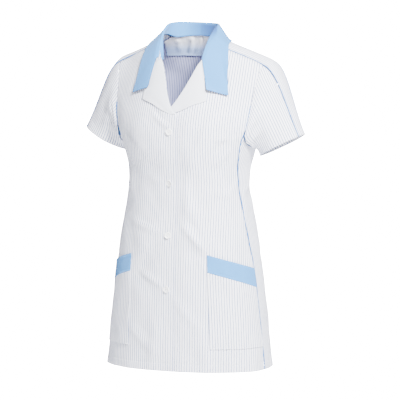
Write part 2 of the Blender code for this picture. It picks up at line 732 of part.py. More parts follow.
def clear_of_body(points, clearance):
    """Points pushed out until they are this far from the body's form."""
    points = np.array(points, float)

    def level(at):
        width, front, back, square = section(at[..., 2])
        share = (1 - np.clip(np.abs(at[..., 0]) / width, 0, 0.995) ** square) ** (1 / square)
        y = at[..., 1] - sweep(at[..., 0], at[..., 2])
        ahead = y < 0
        depth = np.where(ahead, front, back) * share
        height = np.where(ahead, FRONT_ROUND, BACK_ROUND)
        under = np.maximum(1 - (ridge(at[..., 0]) - at[..., 2]) / height, 0.0)
        return np.sqrt((y / depth) ** 2 + under**2)

    step = 0.0005
    for _ in range(6):
        value = level(points)
        ahead = [level(points + step * axis) for axis in np.eye(3)]
        behind = [level(points - step * axis) for axis in np.eye(3)]
        slope = (np.stack(ahead, axis=-1) - np.stack(behind, axis=-1)) / (2 * step)
        steep = np.maximum(np.linalg.norm(slope, axis=-1), 1e-6)
        distance = (value - 1) / steep
        short = np.maximum(clearance - distance, 0.0)
        points = points + slope / steep[..., None] * short[..., None]
    return points


def collar_places():
    """Places along the collar's tables: even steps, then close ones across the leaf's corner."""
    corner = len(COLLAR["seam"]) - 2
    even = np.linspace(0, corner, corner * COLLAR_STEPS + 1)
    return np.concatenate([even, corner + np.linspace(0, 1, 5)[1:]]), corner


def collar_half(side):
    """One half of the collar from the back's middle: up the stand, over the fold, down the leaf."""
    at, corner = collar_places()
    knots = np.arange(len(COLLAR["seam"]))

    def line(name):
        table = np.array(COLLAR[name])
        return np.stack([smooth(knots, table[:, axis], at) for axis in range(3)], axis=1)

    seam, fold, edge = line("seam"), line("fold"), line("edge")
    ends = np.array(COLLAR["edge"])
    straight = np.stack([np.interp(at, knots, ends[:, axis]) for axis in range(3)], axis=1)
    edge[at > corner] = straight[at > corner]
    toward_front = ease(2.5, 6.5, at)
    if side > 0:
        edge[:, 0] += COLLAR_LEFT_LEAF * toward_front
    else:
        for row in (seam, fold, edge):
            row[:, 0] -= COLLAR_RIGHT_IN * toward_front
    outwards = unit((fold - COLLAR_MIDDLE) * np.array((1.0, 1.0, 0.0)))
    upwards = np.array((0.0, 0.0, 1.0))
    radius = COLLAR_FOLD_RADIUS
    middle = fold + (outwards - upwards) * radius
    half = [seam, blend(seam, middle - outwards * radius, 0.55)]
    for turn in np.radians(COLLAR_FOLD_TURNS):
        half.append(middle + radius * (upwards * math.sin(turn) - outwards * math.cos(turn)))
    start = half[-1]
    for part in COLLAR_LEAF_PARTS:
        half.append(blend(start, edge, part))
    half = np.stack(half, axis=1)
    clearance = np.full(half.shape[:2], -1.0)
    clearance[:, 4:6] = COLLAR_OFF_FOLD
    clearance[:, 6:] = blend(COLLAR_OFF_BACK, COLLAR_OFF_FRONT, ease(3.0, 6.5, at))[:, None]
    return clear_of_body(half, clearance)


def collar():
    right = mirrored(collar_half(-1)[1:][::-1], -1)
    grid = np.concatenate([right, collar_half(1)])
    cloth("collar", grid, "blue cloth", wall=COLLAR_WALL, reverse=True)


def buttons():
    """Four turned buttons on the right front, face out."""
    for number, height in enumerate(BUTTON_HEIGHTS, start=1):
        name = f"button_{number}"
        mesh = bpy.data.meshes.new(name)
        points = [(BUTTON_RADIUS * out, 0.0, BUTTON_THICK * up) for out, up in BUTTON_PROFILE]
        edges = [(index, index + 1) for index in range(len(points) - 1)]
        mesh.from_pydata(points, edges, [])
        button = add_object(name, mesh, "button")
        turn = button.modifiers.new("turn", "SCREW")
        turn.axis = "Z"
        turn.steps = BUTTON_STEPS
        turn.render_steps = BUTTON_STEPS
        turn.use_merge_vertices = True
        turn.merge_threshold = 0.0001
        place = leant(body(0.0, height, BUTTON_SEAT))
        ahead = leant(body(0.0, height, BUTTON_SEAT + 0.01)) - place
        button.location = place
        tilt = math.atan2(ahead[2], -ahead[1])
        button.rotation_euler = (math.pi / 2 - tilt, 0.0, 0.0)


clear_scene()
tunic = bpy.data.collections.new("medical tunic")
bpy.context.scene.collection.children.link(tunic)
RINGS = armhole_ring()
front_panels()
side_panels()
back_panel()
neck_facing()
sleeves()
strips()
pipings()
pockets()
lapels()
collar()
buttons()
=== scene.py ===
"""The looks of a medical tunic: thin cloth with stripes, creases, stitching, piping and buttons.

Metres, +Z up, the front faces -Y and +X is the wearer's left. Nothing here moves a CAD part.
"""

import math

import bpy
import numpy as np
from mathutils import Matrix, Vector


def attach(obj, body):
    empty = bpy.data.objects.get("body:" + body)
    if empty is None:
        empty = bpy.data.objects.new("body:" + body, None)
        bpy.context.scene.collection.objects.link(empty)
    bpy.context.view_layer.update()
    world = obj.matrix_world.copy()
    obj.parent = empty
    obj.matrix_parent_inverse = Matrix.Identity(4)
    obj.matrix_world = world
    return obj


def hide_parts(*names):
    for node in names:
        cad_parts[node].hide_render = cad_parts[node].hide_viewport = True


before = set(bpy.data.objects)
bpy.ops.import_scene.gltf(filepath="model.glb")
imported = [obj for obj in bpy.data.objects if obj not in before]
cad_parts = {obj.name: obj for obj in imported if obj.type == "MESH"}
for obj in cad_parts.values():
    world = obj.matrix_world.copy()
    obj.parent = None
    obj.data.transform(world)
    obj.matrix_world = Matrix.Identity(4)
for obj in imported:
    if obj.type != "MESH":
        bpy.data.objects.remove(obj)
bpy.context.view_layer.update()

# Cloth and seams
WALL = 0.0015
GAP = 0.0003
PIPING_RADIUS = 0.0012
SEAM_HALF = PIPING_RADIUS + GAP

# Heights
HEM_Z = -0.851
BREAK_Z = -0.192
ARMHOLE_JOIN_Z = -0.228
ARMHOLE_BOTTOM_Z = -0.272
BACK_NECK_Z = 0.004

# The back neck facing: half its width at the neck, how much wider it is below, how far under the
# neck's edge it starts, its lower edge in the middle and at the sides, and how free its folds are
FACING_HALF = 0.098
FACING_FLARE = 0.14
FACING_UNDER_NECK = 0.0008
FACING_LOW = -0.057
FACING_LOW_SIDE = -0.054
FACING_INWARDS = 0.0026
FACING_SWELL = 0.0006
FACING_FREE_BELOW = (0.80, 1.0)
FACING_FREE_ABOVE = (0.05, 0.45)
FACING_HELD = 0.2
FACING_FOLD_MIDDLE = -0.03

# The body's sections: height, half width, front depth, back depth, squareness
BODY_COLUMNS = ("z", "width", "front", "back", "square")
BODY_ROWS_FROM_HEM = (
    (-0.851, 0.2165, 0.146, 0.158, 2.15),
    (-0.740, 0.2070, 0.143, 0.157, 2.15),
    (-0.630, 0.1965, 0.140, 0.153, 2.20),
    (-0.526, 0.1840, 0.136, 0.143, 2.20),
    (-0.423, 0.1655, 0.129, 0.121, 2.20),
    (-0.370, 0.1600, 0.128, 0.110, 2.20),
    (-0.335, 0.1610, 0.132, 0.108, 2.25),
    (-0.300, 0.1680, 0.139, 0.109, 2.30),
    (-0.272, 0.1770, 0.142, 0.112, 2.30),
    (-0.228, 0.1980, 0.140, 0.118, 2.40),
    (-0.190, 0.2140, 0.133, 0.122, 2.50),
    (-0.150, 0.2320, 0.122, 0.124, 2.60),
    (-0.100, 0.2620, 0.112, 0.121, 3.00),
    (-0.050, 0.3000, 0.108, 0.118, 3.50),
    (0.010, 0.3300, 0.106, 0.117, 3.80),
    (0.060, 0.3400, 0.105, 0.117, 4.00),
)
BODY = dict(zip(BODY_COLUMNS, zip(*BODY_ROWS_FROM_HEM)))

# The ridge of the shoulder, from the middle of the neck out to the armhole
RIDGE = {
    "x": (0.000, 0.040, 0.068, 0.103, 0.153, 0.182, 0.209, 0.228, 0.250),
    "z": (0.031, 0.020, 0.008, -0.009, -0.030, -0.0415, -0.053, -0.063, -0.076),
}
FRONT_ROUND = 0.220
BACK_ROUND = 0.170

# The tunic leans to its left at the top and a little to its right at the hem
LEAN = {
    "z": (-0.851, -0.600, -0.420, -0.150, -0.050, 0.030),
    "x": (-0.002, -0.002, 0.000, 0.006, 0.006, 0.001),
}

# The right shoulder hangs lower than the left one
RIGHT_DROP = 0.006

# The shoulders lie further back than the neck
SWEEP = 0.030
SWEEP_FROM_X = 0.060
SWEEP_TO_X = 0.200
SWEEP_FROM_Z = -0.300
SWEEP_TO_Z = -0.100

# The strip over the shoulder and down the sleeve
STRIP_HALF = 0.0335
NECK_X = 0.075
SHOULDER_X = 0.205
STRIP_SHARE = 0.155
SEAM_SHARE = 0.0095

# The front's edge: an overlap as far as the break, then the roll line of the lapel up to the neck
OVERLAP = 0.020
UNDERLAP_IN = WALL + 0.0008
UNDERLAP_FADE = 0.030
ROLL = {
    "z": (-0.192, -0.170, -0.139, -0.103, -0.087, -0.066, -0.050, -0.033, 0.000, 0.020),
    "left": (-0.020, -0.001, 0.019, 0.0375, 0.0450, 0.0540, 0.063, 0.069, 0.0745, 0.075),
    "right": (-0.020, 0.0015, 0.0165, 0.0280, 0.0340, 0.0425, 0.053, 0.062, 0.0735, 0.075),
}

# The armhole's edge above the underarm, front and back
ARMHOLE = {
    "z": (-0.228, -0.190, -0.150, -0.110, -0.080, -0.050),
    "front_x": (0.180, 0.1860, 0.1900, 0.1940, 0.1985, 0.2055),
    "back_x": (0.180, 0.1855, 0.1905, 0.1955, 0.2000, 0.2055),
}

# The piped seam beside the front and the plain one beside the back, as angles round the body
SIDE_SEAMS = {
    "z": (-0.851, -0.755, -0.594, -0.520, -0.420, -0.364, -0.318, -0.285, -0.228),
    "front_left": (88.0, 87.0, 85.0, 81.0, 77.5, 74.5, 72.5, 70.5, 69.0),
    "front_right": (82.0, 81.0, 79.0, 75.5, 71.5, 72.0, 72.0, 70.5, 69.0),
    "back": (102.0, 102.5, 103.0, 104.0, 105.0, 106.0, 107.0, 108.5, 111.0),
}

# The largest folds: from and to (angle round the body, height), half width, depth outwards
FOLDS = (
    ((10, -0.462), (36, -0.552), 0.016, 0.0045),
    ((14, -0.520), (34, -0.585), 0.018, -0.0040),
    ((8, -0.405), (32, -0.470), 0.018, 0.0030),
    ((-10, -0.470), (-34, -0.535), 0.020, 0.0035),
    ((60, -0.400), (40, -0.330), 0.022, 0.0035),
    ((-62, -0.395), (-42, -0.335), 0.022, 0.0035),
    ((86, -0.425), (112, -0.372), 0.022, -0.0045),
    ((-86, -0.430), (-110, -0.378), 0.022, -0.0040),
    ((125, -0.400), (160, -0.350), 0.022, 0.0050),
    ((-122, -0.395), (-158, -0.355), 0.024, 0.0045),
    ((140, -0.455), (172, -0.405), 0.022, -0.0040),
    ((-150, -0.120), (-135, -0.260), 0.026, 0.0040),
    ((148, -0.115), (134, -0.255), 0.026, 0.0045),
    ((118, -0.870), (126, -0.560), 0.034, 0.0080),
    ((-116, -0.870), (-128, -0.580), 0.032, 0.0075),
    ((158, -0.870), (152, -0.600), 0.034, -0.0060),
    ((-162, -0.870), (-150, -0.600), 0.034, 0.0065),
    ((72, -0.870), (70, -0.640), 0.036, 0.0050),
    ((-74, -0.870), (-70, -0.660), 0.034, 0.0050),
)
FOLD_ARC = 0.165

# The sleeve's hem, an ellipse across an axis that leans out from the body
CUFF_CENTRE = np.array((0.248, 0.022, -0.271))
CUFF_OUT = np.array((0.888, 0.0, 0.460))
CUFF_HALF_WIDTH = 0.0650
CUFF_HALF_DEPTH = 0.0500
CUFF_TURN = 0.08
SLEEVE_AXIS = np.array((0.460, 0.0, -0.888))
CAP_TOP = np.array((0.93, 0.0, -0.37))
CAP_UNDER = np.array((0.95, 0.0, -0.31))
CAP_REACH = (0.20, 0.28)
CUFF_REACH = (0.38, 0.42)

# Pockets: where the inner edge stands, the slanted top's heights, and how far the middle swells
POCKETS = {
    "left": {"inner_top": 0.104, "inner_bottom": 0.1145, "top_inner": -0.547, "wave": 0.00090},
    "right": {"inner_top": 0.110, "inner_bottom": 0.1150, "top_inner": -0.553, "wave": 0.00054},
}
POCKET_TOP_SIDE = -0.588
POCKET_BOTTOM = -0.790
BAND_INNER = 0.044
BAND_SIDE = 0.048
POCKET_GAPE = 0.0022
POCKET_GAPE_FROM = -0.690
POCKET_SEAM_INSET = 0.0022

# Lapels: the roll line and the free edge, from the break up to the collar
LAPEL = {
    "roll_z": (-0.186, -0.166, -0.144, -0.122, -0.103, -0.082, -0.052),
    "edge_x": (-0.006, 0.026, 0.058, 0.0900, 0.0865, 0.079, 0.070),
    "edge_z": (-0.189, -0.178, -0.163, -0.1515, -0.133, -0.108, -0.062),
}
LAPEL_LIFT = 0.0042
LAPEL_LIFT_LEAST = 0.0032
LAPEL_ARCH_AT = 0.35
LAPEL_ARCH_HALF = 0.7416
LAPEL_AT_BREAK = 0.55
LAPEL_STARTS = {"left": 0.03, "right": 0.0}
LAPEL_BARE_ROWS = 4
LAPEL_RIPPLE = 0.0006
LAPEL_ROLL_TURN = 75

# The collar from the back's middle to its front end: neck seam, fold and free edge
COLLAR = {
    "seam": (
        (0.000, 0.0595, -0.0015), (0.032, 0.0550, -0.0030), (0.057, 0.042, -0.0060),
        (0.0708, 0.016, 0.003), (0.0720, -0.014, 0.006), (0.0690, -0.038, -0.010),
        (0.0645, -0.054, -0.034), (0.0620, -0.060, -0.044), (0.0600, -0.066, -0.054),
    ),
    "fold": (
        (0.000, 0.066, 0.033), (0.032, 0.061, 0.0335), (0.0565, 0.043, 0.034),
        (0.0660, 0.018, 0.032), (0.0660, -0.010, 0.020), (0.0635, -0.034, 0.002),
        (0.0600, -0.052, -0.024), (0.0590, -0.060, -0.038), (0.0580, -0.066, -0.050),
    ),
    "edge": (
        (0.000, 0.088, -0.012), (0.042, 0.083, -0.013), (0.080, 0.064, -0.014),
        (0.101, 0.026, -0.010), (0.112, -0.018, -0.012), (0.121, -0.052, -0.048),
        (0.127, -0.074, -0.092), (0.1315, -0.084, -0.1375), (0.084, -0.112, -0.121),
    ),
}
COLLAR_FOLD_RADIUS = 0.0034
COLLAR_LEFT_LEAF = 0.007
COLLAR_RIGHT_IN = 0.009
COLLAR_FOLD_OUT = 0.009
COLLAR_OFF_BACK = 0.0050
COLLAR_OFF_FRONT = 0.0066
COLLAR_OFF_FOLD = 0.0042
COLLAR_TO_FRONT = (2.5, 6.5)
COLLAR_RISES = (3.0, 6.5)
COLLAR_FOLD_TURN = 165
COLLAR_STAND_TO = 0.9
COLLAR_STAND_ROWS = 9
COLLAR_FOLD_ROWS = 12
COLLAR_FOLD_HELD = 5
COLLAR_WAVE = 0.0010
COLLAR_WAVE_TURN = 1.9
COLLAR_MIDDLE = np.array((0.0, 0.012, 0.0))

# Buttons: heights of the four, one button's sizes and its section as shares of them
BUTTON_HEIGHTS = (-0.232, -0.366, -0.500, -0.639)
BUTTON_RADIUS = 0.0088
BUTTON_THICK = 0.0028
BUTTON_SEAT = 0.0006
BUTTON_FACE = (
    (0.00, 0.52), (0.30, 0.54), (0.52, 0.60), (0.66, 0.68), (0.72, 0.80), (0.78, 0.94),
    (0.85, 1.00), (0.92, 0.97), (0.97, 0.86), (1.00, 0.68), (1.00, 0.50), (0.96, 0.34),
    (0.84, 0.16), (0.66, 0.05), (0.40, 0.00), (0.00, 0.00),
)
BUTTON_TURNS = (0.10, -0.35, 0.22, -0.12)
HOLE_RADIUS = 0.00085
HOLE_APART = 0.00150
BUTTONHOLE = 0.0208
BUTTONHOLE_HALF = 0.0011
BUTTONHOLE_SEAT = 0.0002
BUTTONHOLE_RADIUS = 0.00035
THREAD_RADIUS = 0.00018
THREAD_APART = 0.00032
THREAD_RISE = 0.0006
THREAD_DIP = 0.0016
THREAD_OVER = 0.8
FACE_HEIGHT = 0.66
THREAD_PAST_HOLE = 0.0004

# Which way a sleeve's and a strip's outer side lies from its grid's own
SLEEVE_OUT = -1
STRIP_OUT = -1

# Covered cords: how far out they lie in the side seam, up the armhole and under the arm, how much of
# the creases they follow, and how many of a strip's points stay bare under the collar at the back
CORD_RADIUS = 0.0014
CORD_TOP_Z = -0.165
CORD_SEAT = -0.0002
CORD_SEAT_TOP = 0.0004
CORD_ON_CREASE = 0.6
UNDERARM_CORD_RADIUS = 0.00196
UNDERARM_SEAT = (0.0006, 0.0066)
STRIP_ROWS = (46, 54)
BARE_AT_BACK = 5

# Folds of the neck facing: place across, lean, width, depth inwards
FACING_FOLDS = (
    (-0.040, 0.5, 0.0060, 0.0050), (-0.020, 0.7, 0.0050, 0.0046), (-0.004, 0.6, 0.0045, 0.0036),
    (0.014, 0.5, 0.0050, 0.0040), (0.040, -0.3, 0.0070, 0.0034), (-0.070, 0.2, 0.0080, 0.0026),
)

# How thick the cloth looks, and how far each laid-on piece's face stands above what carries it
THIN = 0.0006
LAPEL_THIN = 0.0009
BAND_THIN = 0.0010
COLLAR_THIN = 0.0012
LAID = 0.0017
BAND_OVER_POCKET = 0.0008

# Sewing, in metres
HEM_DEPTH = 0.020
SLEEVE_HEM_DEPTH = 0.022
EDGE_STITCH = 0.0055
POCKET_STITCH = 0.0020
BAND_STITCH = 0.0020
STITCH_LENGTH = 0.0026
STITCH_GAP = 0.0009
STITCH_RADIUS = 0.00022
STITCH_SIDES = 5
STITCH_RINGS = ((-0.5, 0.35), (-0.3, 1.0), (0.3, 1.0), (0.5, 0.35))
STITCH_SUNK = 0.35

# How sewing shows in the cloth: a dip into each seam, small waves beside it, a line pressed in
# under stitching, and a hem's double cloth with its groove
SEAM_DIP = 0.0008
SEAM_DIP_REACH = 0.0012
SEAM_HOLDS = 0.006
PUCKER_LONG = 0.0137
PUCKER_SHORT = 0.0221
PUCKER_REACH = 0.007
PUCKER_HEIGHT = 0.00035
EDGE_PUCKER = (0.010, 0.0003)
STRIP_PUCKER = (0.009, 0.0003)
POCKET_PUCKER = (0.006, 0.0003)
STRIP_SWELL = 0.6
PRESSED = 0.0004
PRESSED_REACH = 0.0012
HEM_DOUBLE = 0.0004
HEM_GROOVE = 0.0005
HEM_GROOVE_REACH = 0.0014

# The pinstripe's repeat, its half width, how it fades, and how far the cut sets it off an edge
STRIPE_PITCH = 0.0068
STRIPE_HALF = 0.00085
STRIPE_FADE = (0.6, 1.4)
EDGE_STRIPE = 0.0021

# The plain weave, and the finish of the cloth and the buttons
WEAVE_PITCH = 0.0005
WEAVE_DEPTH = 0.0001
WEAVE_STRENGTH = 0.35
WEAVE_UNEVEN = 3.0
CLOTH_ROUGHNESS = 0.86
CLOTH_SHEEN = 0.12
SHEEN_ROUGHNESS = 0.6
BUTTON_ROUGHNESS = 0.28
BUTTON_COAT = 0.25

# Creases on the body: from and to (angle in degrees, height), half width, height
CREASES = (
    ((11, -0.468), (33, -0.540), 0.0070, 0.0056),
    ((16, -0.452), (30, -0.500), 0.0050, -0.0022),
    ((22, -0.548), (36, -0.600), 0.0080, 0.0029),
    ((2, -0.226), (-16, -0.184), 0.0060, 0.0042),
    ((-1, -0.214), (-14, -0.176), 0.0045, -0.0022),
    ((34, -0.160), (25, -0.290), 0.0140, 0.0040),
    ((27, -0.265), (16, -0.368), 0.0130, 0.0040),
    ((16, -0.345), (20, -0.455), 0.0130, 0.0038),
    ((36, -0.247), (62, -0.252), 0.0075, 0.0036),
    ((34, -0.386), (64, -0.397), 0.0090, 0.0024),
    ((-4, -0.368), (-24, -0.352), 0.0090, 0.0022),
    ((-2, -0.497), (-46, -0.462), 0.0075, 0.0042),
    ((-8, -0.512), (-34, -0.560), 0.0090, 0.0028),
    ((0, -0.637), (-30, -0.585), 0.0075, 0.0048),
    ((-14, -0.560), (-30, -0.610), 0.0080, -0.0022),
    ((0, -0.640), (29, -0.758), 0.0100, 0.0032),
    ((-4, -0.815), (-38, -0.730), 0.0120, 0.0034),
    ((-8, -0.700), (-12, -0.870), 0.0130, 0.0032),
    ((24, -0.705), (31, -0.870), 0.0160, 0.0044),
    ((42, -0.330), (62, -0.262), 0.008, 0.0030),
    ((36, -0.300), (58, -0.232), 0.007, -0.0024),
    ((-40, -0.322), (-60, -0.262), 0.008, 0.0030),
    ((-34, -0.280), (-56, -0.225), 0.007, -0.0022),
    ((52, -0.408), (76, -0.360), 0.008, 0.0027),
    ((-50, -0.420), (-76, -0.372), 0.009, 0.0027),
    ((80, -0.395), (102, -0.368), 0.007, 0.0027),
    ((78, -0.440), (104, -0.425), 0.008, 0.0022),
    ((-80, -0.405), (-104, -0.375), 0.007, 0.0027),
    ((118, -0.372), (166, -0.338), 0.009, 0.0035),
    ((-114, -0.380), (-150, -0.332), 0.008, 0.0032),
    ((124, -0.430), (158, -0.402), 0.008, 0.0030),
    ((-130, -0.440), (-172, -0.395), 0.009, 0.0032),
    ((150, -0.455), (178, -0.470), 0.010, -0.0024),
    ((132, -0.140), (122, -0.240), 0.009, 0.0032),
    ((-134, -0.130), (-124, -0.250), 0.008, 0.0032),
    ((168, -0.090), (150, -0.160), 0.010, 0.0019),
    ((136, -0.870), (142, -0.680), 0.014, 0.0041),
    ((-140, -0.870), (-138, -0.700), 0.012, 0.0035),
    ((176, -0.870), (170, -0.720), 0.016, 0.0030),
)

# Creases on a sleeve: from and to (share round it, share along it), half width, height
SLEEVE_CREASES = (
    ((-0.46, 0.06), (-0.54, 1.06), 0.075, 0.0046),
    ((-0.93, 0.05), (-0.42, 0.36), 0.055, 0.0032),
    ((-0.80, 0.02), (-0.45, 0.20), 0.045, 0.0030),
    ((-0.98, 0.22), (-0.52, 0.66), 0.060, 0.0026),
    ((-0.70, 0.30), (-0.38, 0.62), 0.050, -0.0020),
    ((-0.34, 0.12), (-0.24, 0.55), 0.045, 0.0014),
    ((0.92, 0.06), (0.48, 0.40), 0.060, 0.0034),
    ((0.85, 0.28), (0.42, 0.70), 0.055, 0.0026),
    ((0.60, 0.10), (0.36, 0.30), 0.045, -0.0020),
)
SLEEVE_ROUND = 0.36
SLEEVE_LONG = 0.19

# The cloth that bulges at the underarm: how far, round the sleeve from and to, and along it
BULGE = 0.0012
BULGE_ROUND = (0.45, 0.85)
BULGE_ALONG = 0.10
BULGE_REACH = 0.07

# A sleeve's stripes run along its axis as seen from here, and evenly from this share to the underarm
STRIPES_SEEN_FROM = np.array((0.28, -0.955, 0.08))
STRIPE_TURN = 0.1
UNDERARM_FROM = 0.62
UNDERARM_SPREAD = 0.20

# Long soft swells that keep the cloth from lying flat: wave lengths round and up, height
SWELLS = ((0.135, 0.210, 0.0007), (0.087, 0.154, 0.0005), (0.061, 0.118, 0.0004))

# Colours: the cloths, painted shade for their inner sides, the collar's underside, the neck facing and the
# underarm cord, thread, buttons and floor
WHITE_CLOTH = "DEE1EA"
STRIPED_GROUND = "F3F4FB"
STRIPE = "6678A8"
BLUE_CLOTH = "3C86C6"
CORD = "2C69AE"
# Painted shade: the underarm cord is coloured dark for the shade in the gap under the arm
SHADED_CORD = "123A6A"
BLUE_THREAD = "5A9AD4"
# Painted shade: the striped cloth's inner side, coloured darker than the cloth itself
PAINTED_SHADE_INSIDE_GROUND = "A6A9CA"
PAINTED_SHADE_INSIDE_STRIPE = "6870A0"
# Painted shade: the collar's underside and rim, and its stand's left end
PAINTED_SHADE_BLUE = "0E3C7C"
# Painted shade: the neck facing's blue towards its lower edge
FACING_PAINTED_SHADE_BLUE = "A2BCE6"
THREAD = "F6F6F8"
BUTTON = "F4F4F6"
FLOOR = "FFFFFF"

# Painted shade that makes the collar's stand deeper blue: its strength, along the collar from and to, and as
# far across it
STAND_SHADE = 0.85
STAND_SHADE_STARTS = (0.160, 0.245)
STAND_SHADE_ENDS = (0.34, 0.42)
STAND_SHADE_ACROSS = (0.027, 0.037)

# Heights between which the facing's painted blue shade fades to plain white, and the nodes whose inside has
# painted shade
FACING_SHADE = (-0.044, -0.014)
SHADED_INSIDE = ("back", "front_right", "front_left", "side_right", "side_left")

# The camera looks from the photograph's side and height through a long lens
AZIMUTH = math.radians(24.5)
ELEVATION = math.radians(6.8)
LENS_MM = 600.0
SENSOR_MM = 36.0
FRAME_WIDTH = 1.030
CENTRE_RIGHT = 0.02575
CENTRE_UP = -0.4197
FLOOR_Z = -1.50
FLOOR_SIZE = 400.0
FLOOR_GLOW = 40.0
FLOOR_PALE = 0.45
GLOW_EDGES = (
    ((-0.415, 0.910, 0.0), 3.3, 4.2),
    ((0.910, 0.415, 0.0), -1.7, -1.1),
    ((-0.910, -0.415, 0.0), -1.7, -1.1),
)
SKY = "DCE2F8"
SKY_STRENGTH = 0.42

# Soft lights: name, place, size and power
LIGHTS = (
    ("key light", (1.9, -1.8, 1.75), 0.75, 640.0),
    ("fill light", (-1.6, -3.4, 0.4), 2.4, 45.0),
)
LIGHTS_AIM = (0.0, 0.0, -0.40)


def smooth(knots, values, at):
    """Values between a table's rows on a smooth curve that doesn't overshoot them."""
    knots = np.asarray(knots, float)
    values = np.asarray(values, float)
    at = np.clip(np.asarray(at, float), knots[0], knots[-1])
    steps = np.diff(knots)
    slopes = np.diff(values) / steps
    tangents = np.zeros(len(knots))
    tangents[0] = slopes[0]
    tangents[-1] = slopes[-1]
    both = slopes[:-1] * slopes[1:]
    mean = 2 * both / np.where(both > 0, slopes[:-1] + slopes[1:], 1.0)
    tangents[1:-1] = np.where(both > 0, mean, 0.0)
    row = np.clip(np.searchsorted(knots, at, side="right") - 1, 0, len(steps) - 1)
    part = (at - knots[row]) / steps[row]
    start = (1 + 2 * part) * (1 - part) ** 2 * values[row]
    end = part**2 * (3 - 2 * part) * values[row + 1]
    leave = part * (1 - part) ** 2 * steps[row] * tangents[row]
    arrive = part**2 * (part - 1) * steps[row] * tangents[row + 1]
    return start + end + leave + arrive


def ease(low, high, at):
    part = np.clip((np.asarray(at, float) - low) / (high - low), 0.0, 1.0)
    return part * part * (3 - 2 * part)


def blend(first, second, part):
    return first + (second - first) * part


def section(z):
    """Half width, front depth, back depth and squareness of the body at a height."""
    return tuple(smooth(BODY["z"], BODY[name], z) for name in ("width", "front", "back", "square"))


def ridge(x):
    return smooth(RIDGE["x"], RIDGE["z"], np.abs(x))


def sweep(x, z):
    """How far back the middle of the body's depth lies."""
    return SWEEP * ease(SWEEP_FROM_X, SWEEP_TO_X, np.abs(x)) * ease(SWEEP_FROM_Z, SWEEP_TO_Z, z)


def shoulder_share(x, z, height):
    """How much of its depth the body has this far under the shoulder's ridge, from 0 to 1."""
    under = np.clip((ridge(x) - z) / height, 0.0, 1.0)
    return np.sqrt(np.maximum(1 - (1 - under) ** 2, 0.0))


def creased(x, z, first, last, half_width, scale, open_start=False):
    """A crease's share of its height at places on the cloth: highest on its line and tapered to its ends."""
    start = np.array(first) * scale
    way = np.array(last) * scale - start
    length = np.hypot(*way)
    way = way / length
    reach = np.clip(((x - start[0]) * way[0] + (z - start[1]) * way[1]) / length, 0.0, 1.0)
    beside = (x - start[0]) * way[1] - (z - start[1]) * way[0]
    taper = np.cos(0.5 * np.pi * reach) if open_start else np.maximum(np.sin(np.pi * reach), 0.0)
    return taper * np.exp(-((beside / half_width) ** 2))


def fold_height(angle, z, folds=FOLDS):
    """How far the folds lift the cloth at an angle in radians and a height."""
    lift = np.zeros(np.broadcast(angle, z).shape)
    x = np.radians((np.degrees(angle) + 180) % 360 - 180) * FOLD_ARC
    scale = np.array((math.radians(1) * FOLD_ARC, 1.0))
    for first, last, half_width, out in folds:
        lift = lift + out * creased(x, z, first, last, half_width, scale, first[1] < HEM_Z)
    return lift


def plain_body(angle, z):
    """The body's form without its folds: angle 0 is the front's middle, positive to the wearer's left."""
    width, front, back, square = section(z)
    sine = np.sin(angle)
    cosine = np.cos(angle)
    x = width * sine
    share = np.maximum(1 - np.abs(sine) ** square, 0.0) ** (1 / square)
    y_front = -front * share * shoulder_share(x, z, FRONT_ROUND)
    y_back = back * share * shoulder_share(x, z, BACK_ROUND)
    y = np.where(cosine >= 0, y_front, y_back) + sweep(x, z)
    return np.stack(np.broadcast_arrays(x, y, z), axis=-1)


def unit(vectors):
    return vectors / np.maximum(np.linalg.norm(vectors, axis=-1, keepdims=True), 1e-12)


def body(angle, z, out=0.0):
    """A point of the body's form, moved out along its normal."""
    angle, z, out = np.broadcast_arrays(*(np.asarray(given, float) for given in (angle, z, out)))
    step_angle = 0.004
    step_z = 0.0015
    round_it = plain_body(angle + step_angle, z) - plain_body(angle - step_angle, z)
    up_it = plain_body(angle, z + step_z) - plain_body(angle, z - step_z)
    normal = unit(np.cross(round_it, up_it))
    return plain_body(angle, z) + normal * (out + fold_height(angle, z))[..., None]


def angle_at(x, z):
    """The angle of the front's point at x."""
    width = section(z)[0]
    return np.arcsin(np.clip(x / width, -1.0, 1.0))


def shifted(angle, z, distance):
    """The angle this far further round the body, measured along the cloth."""
    step = 0.004
    speed = np.linalg.norm(plain_body(angle + step, z) - plain_body(angle - step, z), axis=-1) / (2 * step)
    return angle + distance / np.maximum(speed, 0.02)


def strip_height(x, across, front=True):
    """The shoulder's height at x, this far in front of its ridge or behind it."""
    depth, height = (1, FRONT_ROUND) if front else (2, BACK_ROUND)
    z = ridge(x)
    for _ in range(5):
        sizes = section(z)
        share = (1 - np.clip(np.abs(x) / sizes[0], 0, 1) ** sizes[3]) ** (1 / sizes[3])
        part = np.clip(np.abs(across) / (sizes[depth] * share), 0.0, 0.98)
        z = ridge(x) - height * (1 - np.sqrt(1 - part**2))
    return z


def armhole_angle(z, back=False):
    """The armhole's edge as an angle: table above the underarm, a round bottom below."""
    table = ARMHOLE["back_x" if back else "front_x"]
    above = angle_at(smooth(ARMHOLE["z"], table, z), np.maximum(z, ARMHOLE_JOIN_Z))
    span = math.pi / 2 - angle_at(table[0], ARMHOLE_JOIN_Z)
    drop = np.clip((ARMHOLE_JOIN_Z - z) / (ARMHOLE_JOIN_Z - ARMHOLE_BOTTOM_Z), 0.0, 1.0)
    below = math.pi / 2 - span * np.sqrt(1 - drop**2)
    angle = np.where(z >= ARMHOLE_JOIN_Z, above, below)
    return math.pi - angle if back else angle


def armhole_bottom(angle):
    """The height of the armhole's round bottom at an angle between the two side seams."""
    away = np.abs(angle - math.pi / 2)
    front = math.pi / 2 - armhole_angle(ARMHOLE_JOIN_Z)
    back = armhole_angle(ARMHOLE_JOIN_Z, back=True) - math.pi / 2
    span = np.where(angle < math.pi / 2, front, back)
    part = np.clip(away / span, 0.0, 1.0)
    return ARMHOLE_JOIN_Z - (ARMHOLE_JOIN_Z - ARMHOLE_BOTTOM_Z) * np.sqrt(1 - part**2)


